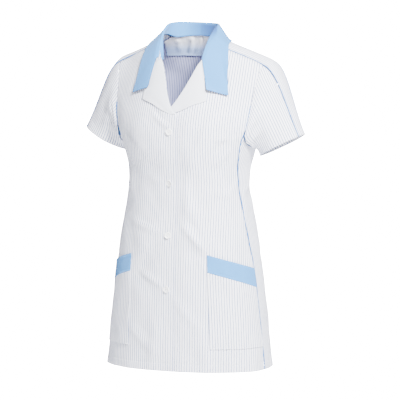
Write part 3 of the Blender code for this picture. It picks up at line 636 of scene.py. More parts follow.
def seam_angle(z, name, side=1):
    """The angle of the seam beside the front or the back."""
    column = name if name == "back" else name + "_" + side_name(side)
    angle = np.radians(smooth(SIDE_SEAMS["z"], SIDE_SEAMS[column], z))
    join = armhole_angle(ARMHOLE_JOIN_Z, back=name == "back")
    return blend(angle, join, ease(-0.300, ARMHOLE_JOIN_Z, z))


def leant(points):
    moved = np.array(points, float)
    right = ease(0.05, 0.15, -moved[..., 0]) * ease(-0.30, -0.12, moved[..., 2])
    moved[..., 2] -= RIGHT_DROP * right
    moved[..., 0] += smooth(LEAN["z"], LEAN["x"], moved[..., 2])
    return moved


def mirrored(points, side):
    """The points on the wearer's left (side 1) or right (side -1)."""
    turned = np.array(points, float)
    turned[..., 0] *= side
    return turned


def side_name(side):
    return "left" if side > 0 else "right"


def front_out(angle, z, side):
    """The left front goes under the right one where they overlap."""
    if side < 0:
        return np.zeros(np.broadcast(angle, z).shape)
    x = plain_body(angle, z)[..., 0]
    return -UNDERLAP_IN * (1 - ease(OVERLAP, OVERLAP + UNDERLAP_FADE, x))


def back_top(x):
    """The height of the back's top edge: the strip's edge, then the neck's curve."""
    beside = strip_height(np.maximum(np.abs(x), NECK_X), STRIP_HALF + SEAM_HALF, front=False)
    neck_side = strip_height(NECK_X, STRIP_HALF + SEAM_HALF, front=False)
    neck = blend(BACK_NECK_Z, neck_side, ease(0.0, NECK_X, np.abs(x)))
    return np.where(np.abs(x) >= NECK_X, beside, neck)


def walk(line):
    """How far each point of a line lies from its start along it."""
    return np.concatenate([[0], np.cumsum(np.linalg.norm(np.diff(line, axis=0), axis=1))])


def points_at(where, walked, line):
    """The line's points at these distances along it."""
    return np.stack([np.interp(where, walked, line[:, axis]) for axis in range(3)], axis=-1)


def armhole_ring():
    """Points round the armhole from its top (share 0) down to the underarm (share 1), front and back."""
    rings = {}
    over_top = 12
    for name, back in (("front", False), ("back", True)):
        across = np.linspace(0, STRIP_HALF, over_top)
        z_top = strip_height(SHOULDER_X, across, front=not back)
        y_top = (across if back else -across) + sweep(SHOULDER_X, z_top)
        over = np.stack([np.full(over_top, SHOULDER_X), y_top, z_top], axis=1)
        dense = np.linspace(z_top[-1], ARMHOLE_JOIN_Z, 40)[1:]
        turn = np.linspace(0, math.pi / 2, 20)[1:]
        z = np.concatenate([dense, blend(ARMHOLE_JOIN_Z, ARMHOLE_BOTTOM_Z, np.sin(turn))])
        line = np.concatenate([over, body(armhole_angle(z, back=back), z)])
        walked = walk(line)
        past = (walked[over_top:] - walked[over_top - 1]) / (walked[-1] - walked[over_top - 1])
        share = np.concatenate([np.linspace(0, STRIP_SHARE, over_top), blend(STRIP_SHARE, 1, past)])
        rings[name] = (share, line)
    return rings


def ring_at(rings, share):
    """The armhole's point at a share from -1 (underarm, front way) through 0 (top) to 1 (back way)."""
    front = points_at(-share, *rings["front"])
    return np.where(share[..., None] < 0, front, points_at(share, *rings["back"]))


def cuff_at(share):
    """The sleeve hem's point at a share."""
    turn = share * math.pi
    turn = turn - CUFF_TURN * np.sin(2 * turn)
    out = np.cos(turn)[..., None] * CUFF_HALF_WIDTH * CUFF_OUT
    depth = np.sin(turn)[..., None] * CUFF_HALF_DEPTH * np.array((0.0, 1.0, 0.0))
    return CUFF_CENTRE + out + depth


def sleeve(share, along):
    """The sleeve's form: share goes round it, along goes from the armhole (0) to the hem (1)."""
    share, along = np.broadcast_arrays(np.asarray(share, float), np.asarray(along, float))
    start = ring_at(RINGS, share)
    end = cuff_at(share)
    low = ease(0.1, 1.0, np.abs(share))[..., None]
    leave = unit(blend(CAP_TOP, CAP_UNDER, low))
    length = np.linalg.norm(end - start, axis=-1)[..., None]
    first = start + leave * blend(*CAP_REACH, low) * length
    second = end - SLEEVE_AXIS * blend(*CUFF_REACH, low) * length
    part = along[..., None]
    rest = 1 - part
    return rest**3 * start + 3 * rest**2 * part * first + 3 * rest * part**2 * second + part**3 * end


def strip_line(across, half, share):
    """Points along the strip from the neck to the sleeve hem: across runs from -1 (front) to 1 (back)."""
    over_rows, down_rows = STRIP_ROWS
    x = np.linspace(NECK_X + 0.001, SHOULDER_X, over_rows)[:-1]
    width = across * half
    height = strip_height(x, width, front=across < 0)
    over = np.stack([x, width + sweep(x, height), height], axis=1)
    along = np.linspace(0, 1, down_rows)
    down = sleeve(across * share, along)
    return np.concatenate([over, down])


def lapel_places(rows, table, across, side):
    """Where a lapel's points lie on the front, from the roll line to the free edge."""
    roll_z = np.interp(rows, table, LAPEL["roll_z"])
    roll_x = smooth(ROLL["z"], ROLL[side_name(side)], roll_z)
    edge_x = np.interp(rows, table, LAPEL["edge_x"])
    edge_z = np.interp(rows, table, LAPEL["edge_z"])
    x = blend(roll_x[:, None], edge_x[:, None], across[None, :])
    z = blend(roll_z[:, None], edge_z[:, None], across[None, :])
    return x, z


def clear_of_body(points, clearance):
    """Points pushed out until they are this far from the body's form."""
    points = np.array(points, float)

    def level(at):
        width, front, back, square = section(at[..., 2])
        share = (1 - np.clip(np.abs(at[..., 0]) / width, 0, 0.995) ** square) ** (1 / square)
        y = at[..., 1] - sweep(at[..., 0], at[..., 2])
        ahead = y < 0
        depth = np.where(ahead, front, back) * share
        height = np.where(ahead, FRONT_ROUND, BACK_ROUND)
        under = np.maximum(1 - (ridge(at[..., 0]) - at[..., 2]) / height, 0.0)
        return np.sqrt((y / depth) ** 2 + under**2)

    step = 0.0005
    for _ in range(6):
        value = level(points)
        ahead = [level(points + step * axis) for axis in np.eye(3)]
        behind = [level(points - step * axis) for axis in np.eye(3)]
        slope = (np.stack(ahead, axis=-1) - np.stack(behind, axis=-1)) / (2 * step)
        steep = np.maximum(np.linalg.norm(slope, axis=-1), 1e-6)
        distance = (value - 1) / steep
        short = np.maximum(clearance - distance, 0.0)
        points = points + slope / steep[..., None] * short[..., None]
    return points


def linear(hex_colour):
    """A colour as linear values from its sRGB hex."""
    values = [int(hex_colour[at : at + 2], 16) / 255 for at in (0, 2, 4)]
    return tuple(v / 12.92 if v <= 0.04045 else ((v + 0.055) / 1.055) ** 2.4 for v in values) + (1.0,)


def add_node(tree, kind, inputs=None, **settings):
    """A node with its settings, and its inputs as values or as links from other sockets."""
    made = tree.nodes.new(kind)
    for name, value in settings.items():
        setattr(made, name, value)
    for name, value in (inputs or {}).items():
        if isinstance(value, bpy.types.NodeSocket):
            tree.links.new(value, made.inputs[name])
        else:
            made.inputs[name].default_value = value
    return made


def maths(tree, operation, first, second=0.0):
    return add_node(tree, "ShaderNodeMath", {0: first, 1: second}, operation=operation).outputs[0]


def new_material(name, colour, roughness, sheen=0.0):
    """A material's tree and its Principled shader."""
    made = bpy.data.materials.new(name)
    made.use_nodes = True
    shader = made.node_tree.nodes["Principled BSDF"]
    shader.inputs["Base Color"].default_value = linear(colour)
    shader.inputs["Roughness"].default_value = roughness
    shader.inputs["Sheen Weight"].default_value = sheen
    shader.inputs["Sheen Roughness"].default_value = SHEEN_ROUGHNESS
    return made, made.node_tree, shader


def ramp(tree, value, low, high, start=0.0, end=1.0):
    """A soft step from start to end while a value goes from low to high."""
    inputs = {0: value, 1: low, 2: high, 3: start, 4: end}
    return add_node(tree, "ShaderNodeMapRange", inputs, interpolation_type="SMOOTHSTEP").outputs[0]


def mix_colour(tree, shader, share, first, second):
    """Gives the shader the first colour where the share is 0 and the second where it is 1."""
    mix = add_node(tree, "ShaderNodeMix", {0: share}, data_type="RGBA")
    mix.inputs["A"].default_value = linear(first)
    mix.inputs["B"].default_value = linear(second)
    tree.links.new(mix.outputs["Result"], shader.inputs["Base Color"])


def woven(name, colour):
    """Plain woven cloth: the material, its tree and shader, and the measures across and along it."""
    made, tree, shader = new_material(name, colour, CLOTH_ROUGHNESS, CLOTH_SHEEN)
    place = add_node(tree, "ShaderNodeUVMap", uv_map="cloth").outputs[0]
    measures = add_node(tree, "ShaderNodeSeparateXYZ", {0: place}).outputs
    turns = [maths(tree, "MULTIPLY", measures[axis], 2 * math.pi / WEAVE_PITCH) for axis in (0, 1)]
    threads = [maths(tree, "SINE", turn) for turn in turns]
    uneven = add_node(tree, "ShaderNodeTexNoise", {"Vector": place, "Scale": 160.0, "Detail": 3.0}).outputs[0]
    uneven = maths(tree, "MULTIPLY", uneven, WEAVE_UNEVEN)
    height = maths(tree, "ADD", maths(tree, "MULTIPLY", *threads), uneven)
    inputs = {"Strength": WEAVE_STRENGTH, "Distance": WEAVE_DEPTH, "Height": height}
    tree.links.new(add_node(tree, "ShaderNodeBump", inputs).outputs[0], shader.inputs["Normal"])
    return made, tree, shader, measures


def cloth_material(name, colour):
    return woven(name, colour)[0]


def striped_material(name, ground, stripe):
    """White cloth with a fine blue-grey pinstripe along the warp."""
    made, tree, shader, measures = woven(name, ground)
    turn = maths(tree, "FRACT", maths(tree, "DIVIDE", measures[0], STRIPE_PITCH))
    away = maths(tree, "MULTIPLY", maths(tree, "ABSOLUTE", maths(tree, "SUBTRACT", turn, 0.5)), STRIPE_PITCH)
    inner, outer = (STRIPE_HALF * share for share in STRIPE_FADE)
    mix_colour(tree, shader, ramp(tree, away, inner, outer, 1.0, 0.0), ground, stripe)
    return made


def facing_material():
    """Plain white cloth, with painted blue shade towards its lower edge inside the neck."""
    made, tree, shader, _ = woven("neck facing look", FACING_PAINTED_SHADE_BLUE)
    place = add_node(tree, "ShaderNodeNewGeometry").outputs["Position"]
    height = add_node(tree, "ShaderNodeSeparateXYZ", {0: place}).outputs[2]
    mix_colour(tree, shader, ramp(tree, height, *FACING_SHADE), FACING_PAINTED_SHADE_BLUE, STRIPED_GROUND)
    return made


def collar_material():
    """Light blue cloth, with painted shade that makes the stand's left end deeper blue."""
    made, tree, shader, (across, along, _) = woven("collar look", BLUE_CLOTH)
    shade = maths(tree, "MULTIPLY", ramp(tree, along, *STAND_SHADE_STARTS), STAND_SHADE)
    for measure, ends in ((along, STAND_SHADE_ENDS), (across, STAND_SHADE_ACROSS)):
        shade = maths(tree, "MULTIPLY", ramp(tree, measure, *ends, 1.0, 0.0), shade)
    mix_colour(tree, shader, shade, BLUE_CLOTH, PAINTED_SHADE_BLUE)
    return made


def plain_material(name, colour, roughness, sheen):
    return new_material(name, colour, roughness, sheen)[0]


def button_material():
    """Pressed polyester with a soft gloss."""
    made, _, shader = new_material("button look", BUTTON, BUTTON_ROUGHNESS)
    shader.inputs["Coat Weight"].default_value = BUTTON_COAT
    return made


def lengths(grid):
    """How far each point lies along its row from the row's first point."""
    steps = np.linalg.norm(np.diff(grid, axis=1), axis=-1)
    return np.concatenate([np.zeros((len(grid), 1)), np.cumsum(steps, axis=1)], axis=1)


def lengths_up(grid):
    """How far each point lies along its column from the column's first point."""
    return lengths(grid.swapaxes(0, 1)).swapaxes(0, 1)


def normals_of(grid):
    """The outward side of a grid whose rows rise and whose columns go round to the wearer's left."""
    return unit(np.cross(np.gradient(grid, axis=1), np.gradient(grid, axis=0)))


def close_ends(count, ends=(0.0, 0.003, 0.008, 0.016, 0.028)):
    """Shares from 0 to 1, closer together at both ends."""
    ends = np.array(ends)
    return np.concatenate([ends, np.linspace(0.045, 0.955, count), 1 - ends[::-1]])


def at_seam(distance):
    """How a cloth edge turns down into a seam."""
    return -SEAM_DIP * np.exp(-np.abs(distance) / SEAM_DIP_REACH)


def off_seam(distance):
    """How free the cloth is beside a seam that holds it, from 0 to 1."""
    return 1 - np.exp(-distance / SEAM_HOLDS)


def pucker(distance, along, reach=PUCKER_REACH, height=PUCKER_HEIGHT, offset=0.0):
    """Small waves that sewing draws up beside a seam."""
    long = np.sin(2 * math.pi * along / PUCKER_LONG + offset)
    short = np.sin(2 * math.pi * along / PUCKER_SHORT + 2 * offset + 1)
    return height * (long + 0.7 * short) * np.exp(-np.abs(distance) / reach)


def pressed(distance, line):
    """The line that stitching presses into the cloth at a distance from its edge."""
    return -PRESSED * np.exp(-(((distance - line) / PRESSED_REACH) ** 2))


def hem_relief(distance, depth):
    """A folded hem: double cloth as far as its stitching, with a shallow groove there."""
    double = HEM_DOUBLE * (1 - ease(depth - 0.0010, depth + 0.0025, distance))
    return double - HEM_GROOVE * np.exp(-(((distance - depth) / HEM_GROOVE_REACH) ** 2))


def swell(first, second, offset=0.0):
    """Long soft unevenness over two measures along the cloth."""
    height = 0.0
    for number, (round_it, up_it, size) in enumerate(SWELLS):
        turn = 2 * math.pi * (first / round_it + 0.3 * number) + offset
        height = height + size * np.sin(turn + 1.7 * np.sin(2 * math.pi * second / up_it + number + offset))
    return height


def small_creases(angle, z):
    """Creases and swells of the body's cloth at an angle in radians and a height."""
    return fold_height(angle, z, CREASES) + swell(angle * FOLD_ARC, z)


def cloth_piece(name, grid, across, material, reverse=False, thick=THIN):
    """A thin cloth shell through the grid's rows, placed on its pattern by its measures across and along."""
    node = name.removesuffix("_cloth")
    grid = leant(grid)
    rows, columns = grid.shape[:2]
    corner = (np.arange(rows - 1)[:, None] * columns + np.arange(columns - 1)[None, :]).ravel()
    faces = np.stack([corner, corner + 1, corner + columns + 1, corner + columns], axis=1)
    if reverse:
        faces = faces[:, ::-1]
    mesh = bpy.data.meshes.new(name)
    mesh.from_pydata(grid.reshape(-1, 3), [], faces.tolist())
    mesh.shade_smooth()
    along = lengths_up(grid)
    places = np.stack([across.ravel(), along.ravel()], axis=1)[faces.ravel()]
    mesh.uv_layers.new(name="cloth").data.foreach_set("uv", places.ravel())
    mesh.materials.append(material)
    # The second material is painted shade: on the inner side of the body's pieces, and on the collar's
    # underside and rim
    mesh.materials.append(PAINTED_SHADE_SIDES.get(node, material))
    piece = bpy.data.objects.new(name, mesh)
    tunic.objects.link(piece)
    wall = piece.modifiers.new("thickness", "SOLIDIFY")
    wall.thickness = thick
    wall.offset = -1.0
    wall.material_offset = 1
    wall.material_offset_rim = int(node == "collar")
    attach(piece, "root")
    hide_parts(node)
    return grid


def line_in(grid, edge, distance):
    """A line of points on the cloth at a distance from one of its edges, and the outward side there."""
    side = normals_of(grid)
    if edge in ("top", "low"):
        grid, side = grid.swapaxes(0, 1), side.swapaxes(0, 1)
    if edge in ("end", "top"):
        grid, side = grid[:, ::-1], side[:, ::-1]
    far = lengths(grid)

    line = [points_at(distance, walked, row) for walked, row in zip(far, grid)]
    sides = [points_at(distance, walked, row) for walked, row in zip(far, side)]
    return np.array(line), unit(np.array(sides))


def stitches(name, line, sides, flip=1, look=None):
    """A row of short raised stitches along a line, each of four rings of points closed at both ends."""
    walked = walk(line)
    count = int(walked[-1] / (STITCH_LENGTH + STITCH_GAP))
    middle = (np.arange(count) + 0.5) * walked[-1] / max(count, 1)
    out = unit(points_at(middle, walked, sides)) * flip
    ahead = unit(points_at(middle + 0.001, walked, line) - points_at(middle - 0.001, walked, line))
    aside = np.cross(ahead, out)
    rings = []
    for part, size in STITCH_RINGS:
        centre = points_at(middle + part * STITCH_LENGTH, walked, line)
        centre = centre + out * STITCH_RADIUS * (size - STITCH_SUNK)
        for turn in np.arange(STITCH_SIDES) * 2 * math.pi / STITCH_SIDES:
            rings.append(centre + STITCH_RADIUS * size * (aside * math.cos(turn) + out * math.sin(turn)))
    points = np.stack(rings, axis=1).reshape(-1, 3)
    faces = []
    in_one = STITCH_SIDES * len(STITCH_RINGS)
    for start in range(0, count * in_one, in_one):
        for ring in range(start, start + in_one - STITCH_SIDES, STITCH_SIDES):
            for turn in range(STITCH_SIDES):
                first = ring + turn
                second = ring + (turn + 1) % STITCH_SIDES
                faces.append((first, second, second + STITCH_SIDES, first + STITCH_SIDES))
        faces.append(tuple(range(start + STITCH_SIDES - 1, start - 1, -1)))
        faces.append(tuple(range(start + in_one - STITCH_SIDES, start + in_one)))
    mesh = bpy.data.meshes.new(name)
    mesh.from_pydata(points, [], faces)
    mesh.shade_smooth()
    mesh.materials.append(look or THREAD_LOOK)
    return placed(name, mesh)


def placed(name, data):
    thing = bpy.data.objects.new(name, data)
    tunic.objects.link(thing)
    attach(thing, "root")
    return thing


def cord(name, points, radius, material):
    """A round cord through points."""
    curve = bpy.data.curves.new(name, "CURVE")
    curve.dimensions = "3D"
    curve.bevel_depth = radius
    curve.bevel_resolution = 3
    curve.use_fill_caps = True
    spline = curve.splines.new("POLY")
    spline.points.add(len(points) - 1)
    spline.points.foreach_set("co", np.column_stack([points, np.ones(len(points))]).ravel())
    curve.materials.append(material)
    return placed(name, curve)


def seam_and_armhole(rows, back=False, side=1):
    """Heights up to the lapels' break, and the angles of the side seam and the armhole there."""
    low = np.concatenate([levels(ARMHOLE_JOIN_Z, rows), np.linspace(ARMHOLE_JOIN_Z, BREAK_Z, 8)[1:]])
    seam = seam_angle(low, "back" if back else "front", side)
    seam = shifted(seam, low, GAP if back else -SEAM_HALF)
    return low, np.where(low > ARMHOLE_JOIN_Z, armhole_angle(low, back), seam)


def levels(high, count):
    """Heights from the hem up, with extra ones at its fold and at its stitching."""
    beside = HEM_DEPTH + np.array((-0.003, -0.0012, 0.0, 0.0012, 0.0028))
    fine = np.concatenate([(0.0, 0.0007, 0.0020, 0.006, 0.012), beside])
    even = np.linspace(HEM_Z + HEM_DEPTH + 0.004, high, count)
    return np.concatenate([HEM_Z + fine, even[1:]])


def around(angle, z, start):
    """How far the cloth goes round the body from a start angle, at a height."""
    angle, z, start = np.broadcast_arrays(angle, z, start)
    parts = np.linspace(0, 1, 25)
    turns = start[..., None] + (angle - start)[..., None] * parts
    line = plain_body(turns, np.repeat(z[..., None], len(parts), axis=-1))
    far = np.linalg.norm(np.diff(line, axis=-2), axis=-1).sum(axis=-1)
    return far * np.sign(angle - start)


def front_places(side):
    """Angles and heights of a front: level rows to the break, then rows up to the shoulder's strip."""
    low, outer_low = seam_and_armhole(92, side=side)
    rise = np.linspace(0, 1, 34)[1:]
    across = close_ends(62)
    edge_offset = STRIP_HALF + SEAM_HALF
    angle_low = blend(angle_at(-OVERLAP, low)[:, None], outer_low[:, None], across[None, :])
    z_low = np.repeat(low[:, None], len(across), axis=1)
    top_inner = float(strip_height(NECK_X, edge_offset))
    top_outer = float(strip_height(SHOULDER_X, edge_offset))
    z_in = blend(BREAK_Z, top_inner, rise)
    z_out = blend(BREAK_Z, top_outer, rise)
    angle_in = angle_at(smooth(ROLL["z"], ROLL[side_name(side)], z_in), z_in)
    angle_up = blend(angle_in[:, None], armhole_angle(z_out)[:, None], across[None, :])
    straight = blend(top_inner, top_outer, across)
    top_z = straight
    for _ in range(8):
        top_z = strip_height(plain_body(angle_up[-1], top_z)[:, 0], edge_offset)
    z_up = blend(z_in[:, None], z_out[:, None], across[None, :]) + rise[:, None] * (top_z - straight)[None, :]
    return np.concatenate([angle_low, angle_up]), np.concatenate([z_low, z_up]), len(low)


def fronts():
    """Both fronts, the right one over the left, hemmed and stitched along their edges."""
    for side in (-1, 1):
        name = side_name(side)
        angle, z, low_rows = front_places(side)
        from_edge = lengths(plain_body(angle, z))
        from_seam = from_edge[:, -1:] - from_edge
        out = front_out(angle, z, side) + small_creases(side * angle, z)
        out = out + hem_relief(z - HEM_Z, HEM_DEPTH) + at_seam(from_seam) + pucker(from_seam, z, offset=side)
        out = out + pucker(from_edge, z, *EDGE_PUCKER, offset=2 * side)
        out = out + pressed(from_edge, EDGE_STITCH)
        grid = body(side * angle, z, out)
        round_it = around(angle, z, 0.0) + (EDGE_STRIPE if side < 0 else 0.0)
        grid = cloth_piece(f"front_{name}_cloth", grid, round_it, STRIPED, side < 0)
        stitches(f"front_{name}_edge_stitching", *line_in(grid[:low_rows], "start", EDGE_STITCH), side)
        stitches(f"front_{name}_hem_stitching", *line_in(grid, "low", HEM_DEPTH), side)


def side_panels():
    """The side panels, from the piped seam round to the seam beside the back."""
    across = close_ends(26, (0.0, 0.008, 0.022, 0.040))
    front_join = armhole_angle(ARMHOLE_JOIN_Z)
    back_join = armhole_angle(ARMHOLE_JOIN_Z, back=True)
    top = armhole_bottom(blend(front_join, back_join, across))
    hem_rows = levels(ARMHOLE_BOTTOM_Z, 88)
    rise = ((hem_rows - HEM_Z) / (ARMHOLE_BOTTOM_Z - HEM_Z))[:, None]
    z = blend(HEM_Z, top[None, :], rise)
    for side in (-1, 1):
        name = side_name(side)
        start = shifted(seam_angle(z, "front", side), z, SEAM_HALF)
        end = shifted(seam_angle(z, "back"), z, -GAP)
        angle = blend(start, end, across[None, :])
        far = lengths(plain_body(angle, z))
        to_back = far[:, -1:] - far
        out = small_creases(side * angle, z) + hem_relief(z - HEM_Z, HEM_DEPTH)
        out = out + at_seam(far) + at_seam(to_back) + pucker(far, z, offset=side)
        out = out + pucker(to_back, z, offset=3 * side) + at_seam(top[None, :] - z)
        grid = body(side * angle, z, out)
        round_it = around(angle, z, math.pi / 2)
        grid = cloth_piece(f"side_{name}_cloth", grid, round_it, STRIPED, side < 0)
        stitches(f"side_{name}_hem_stitching", *line_in(grid, "low", HEM_DEPTH), side)


def back_places():
    """Angles and heights of the back, seam to seam, up to the neck and the shoulders' strips."""
    low, edge_low = seam_and_armhole(88, back=True)
    rise = np.linspace(0, 1, 38)[1:]
    across = 2 * close_ends(46) - 1
    angle_low = (math.pi - edge_low)[:, None] * across[None, :]
    z_low = np.repeat(low[:, None], len(across), axis=1)
    top_outer = float(back_top(SHOULDER_X))
    z_out = blend(BREAK_Z, top_outer, rise)
    angle_up = (math.pi - armhole_angle(z_out, back=True))[:, None] * across[None, :]
    top_z = np.full(len(across), top_outer)
    for _ in range(12):
        top_z = back_top(plain_body(math.pi - angle_up[-1], top_z)[:, 0])
    z_up = blend(BREAK_Z, top_z[None, :], rise[:, None])
    z_up = blend(z_up, z_out[:, None], (np.abs(across) ** 6)[None, :])
    z_up[-1] = top_z
    return np.concatenate([angle_low, angle_up]), np.concatenate([z_low, z_up])


def back_panel():
    angle, z = back_places()
    turn = math.pi - angle
    far = lengths(plain_body(turn, z))
    to_edge = np.minimum(far, far[:, -1:] - far)
    out = small_creases(turn, z) + hem_relief(z - HEM_Z, HEM_DEPTH) + at_seam(to_edge) + pucker(to_edge, z)
    grid = body(turn, z, out)
    round_it = around(turn, z, math.pi)
    grid = cloth_piece("back_cloth", grid, round_it, STRIPED, True)
    stitches("back_hem_stitching", *line_in(grid, "low", HEM_DEPTH), -1)


def neck_facing():
    """The plain facing inside the back's neck, with the soft folds it has above its lower edge."""
    rise = close_ends(26, (0.0, 0.01, 0.03))
    across = np.linspace(-1, 1, 84)
    x = FACING_HALF * across
    top = back_top(x) - FACING_UNDER_NECK
    bottom = blend(FACING_LOW, FACING_LOW_SIDE, np.abs(across) ** 2)
    z = blend(bottom[None, :], top[None, :], rise[:, None])
    x = x[None, :] * (1 + FACING_FLARE * (1 - rise[:, None]))
    angle = math.pi - angle_at(x, z)
    wave = 0.0
    for place, lean, width, height in FACING_FOLDS:
        wave = wave + height * np.exp(-(((x - place - lean * (z - FACING_FOLD_MIDDLE)) / width) ** 2))
    loose = (1 - ease(*FACING_FREE_BELOW, rise)) * blend(FACING_HELD, 1.0, ease(*FACING_FREE_ABOVE, rise))
    grid = body(angle, z, -FACING_INWARDS - (FACING_SWELL + wave) * loose[:, None])
    cloth_piece("neck_facing_cloth", grid, grid[..., 0], FACING_LOOK, True)


def sleeve_places(count, rows):
    """Shares round a sleeve and along it."""
    edge = STRIP_SHARE + SEAM_SHARE
    share = edge + (2 - 2 * edge) * close_ends(count, (0.0, 0.003, 0.008, 0.018))
    share = np.where(share > 1, share - 2, share)
    hem = SLEEVE_HEM_DEPTH / SLEEVE_LONG
    fine = 1 - np.array((hem + 0.012, hem + 0.006, hem, hem - 0.006, hem - 0.014, 0.05, 0.012, 0.004, 0.0))
    start = np.array((0.0, 0.004, 0.010, 0.020, 0.034))
    along = np.concatenate([start, np.linspace(0.05, fine[0] - 0.02, rows), fine])
    return share, along


def sleeve_lift(share, along):
    """Creases of a sleeve, its hem and its seams, as a height over its plain form."""
    round_it = share * SLEEVE_ROUND / 2
    down = along * SLEEVE_LONG
    scale = np.array((1.0, SLEEVE_LONG / SLEEVE_ROUND * 2))
    lift = swell(round_it, down, 1.3) + hem_relief(SLEEVE_LONG - down, SLEEVE_HEM_DEPTH)
    for first, last, half_width, out in SLEEVE_CREASES:
        lift = lift + out * creased(share, along * scale[1], first, last, half_width, scale)
    low = ease(*BULGE_ROUND, np.abs(share))
    bulge = BULGE * low * np.exp(-(((along - BULGE_ALONG) / BULGE_REACH) ** 2))
    return lift + bulge + at_seam(down) + pucker(down, round_it)


def round_arm(grid, share):
    """How far a sleeve's points lie round the arm: its stripes run straight down and meet under the arm."""
    across = unit(np.cross(STRIPES_SEEN_FROM, SLEEVE_AXIS))
    half = math.hypot(CUFF_HALF_WIDTH * (across @ CUFF_OUT), CUFF_HALF_DEPTH * across[1])
    turn = np.linspace(STRIPE_TURN, math.pi - STRIPE_TURN, 181)
    step = np.concatenate([[-3.0], -np.cos(turn), [3.0]])
    far = half * np.concatenate([[0.0], turn - STRIPE_TURN, [math.pi - 2 * STRIPE_TURN]])
    far[0] = -half * (3.0 - math.cos(STRIPE_TURN))
    far[-1] += half * (3.0 - math.cos(STRIPE_TURN))
    place = grid - CUFF_CENTRE
    place[..., 1] = -np.abs(place[..., 1])
    flat = np.interp(place @ across / half, step, far)
    middle = len(share) // 2
    keep = int(UNDERARM_FROM * middle)
    past = share[keep:middle] - share[keep]
    to_middle = 1 - share[keep]
    end = flat[:, keep] - UNDERARM_SPREAD * to_middle
    for part in (flat[:, :middle], flat[:, ::-1][:, :middle]):
        slope = (end - part[:, keep]) / to_middle
        part[:, keep:] = part[:, keep : keep + 1] + slope[:, None] * past
    return flat


def sleeves():
    """Set-in sleeves, creased from the underarm up towards the cap."""
    share, along = sleeve_places(78, 38)
    plain = sleeve(share[None, :], along[:, None])
    side = normals_of(plain)
    edge = lengths(plain)
    turned_by = round_arm(plain, share)
    near = np.minimum(edge, edge[:, -1:] - edge)
    lift = sleeve_lift(share[None, :], along[:, None]) * off_seam(near)
    grid = plain + side * lift[..., None] * SLEEVE_OUT
    grid = grid + side * (at_seam(near) + pucker(near, along[:, None] * SLEEVE_LONG))[..., None] * SLEEVE_OUT
    for sign in (-1, 1):
        name = side_name(sign)
        made = mirrored(grid, sign)
        made = cloth_piece(f"sleeve_{name}_cloth", made, turned_by, STRIPED, sign > 0)
        stitches(f"sleeve_{name}_hem_stitching", *line_in(made, "top", SLEEVE_HEM_DEPTH), SLEEVE_OUT * sign)


def strips():
    """The strips from the neck over the shoulder to the sleeve hem, between their cords."""
    half = STRIP_HALF - SEAM_HALF
    share = STRIP_SHARE - SEAM_SHARE
    across = 2 * close_ends(18, (0.0, 0.010, 0.028)) - 1
    grid = np.stack([strip_line(part, half, share) for part in across], axis=1)
    far = lengths(grid)
    near = np.minimum(far, far[:, -1:] - far)
    along = lengths_up(grid)
    out = at_seam(near) + pucker(near, along, *STRIP_PUCKER)
    out = out + STRIP_SWELL * swell(far, along, 0.7) * off_seam(near)
    out = out + hem_relief(along[-1:] - along, SLEEVE_HEM_DEPTH)
    grid = grid + normals_of(grid) * out[..., None] * STRIP_OUT
    for side in (-1, 1):
        name = side_name(side)
        made = mirrored(grid, side)
        made = cloth_piece(f"strip_{name}_cloth", made, far, STRIPED, side > 0)
        stitches(f"strip_{name}_hem_stitching", *line_in(made, "top", SLEEVE_HEM_DEPTH), STRIP_OUT * side)


def seam_cord(name, line, node):
    """A light blue covered cord sewn into a seam."""
    piece = cord(name, leant(line), CORD_RADIUS, CORD_LOOK)
    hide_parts(node)


def cords():
    """The cords in the side-front seams and on up the armholes, under the arms and along the strips."""
    z = np.linspace(HEM_Z, ARMHOLE_JOIN_Z, 150)
    turn = np.linspace(0, 1, 40)[1:]
    up = blend(ARMHOLE_JOIN_Z, CORD_TOP_Z, turn)
    under = np.sin(np.linspace(0, math.pi / 2, 30))
    drop = blend(ARMHOLE_JOIN_Z, ARMHOLE_BOTTOM_Z, under)
    for side in (-1, 1):
        name = side_name(side)
        angle = side * seam_angle(z, "front", side)
        seam = body(angle, z, CORD_SEAT + CORD_ON_CREASE * fold_height(angle, z, CREASES))
        rest = body(side * armhole_angle(up), up, blend(CORD_SEAT, CORD_SEAT_TOP, turn))
        seam_cord(f"side_seam_cord_{name}", np.concatenate([seam, rest]), f"piping_side_{name}")
        low = leant(body(side * armhole_angle(drop), drop, blend(*UNDERARM_SEAT, under)))
        # A cord in the seam under the arm, its dark colour painted shade
        cord(f"underarm_cord_{name}", low, UNDERARM_CORD_RADIUS, UNDERARM_CORD_PAINTED_SHADE_LOOK)
        for which, part, bare in (("front", -1, 0), ("back", 1, BARE_AT_BACK)):
            line = strip_line(part, STRIP_HALF, STRIP_SHARE)[bare:]
            seam_cord(f"strip_{which}_cord_{name}", mirrored(line, side), f"piping_{which}_{name}")


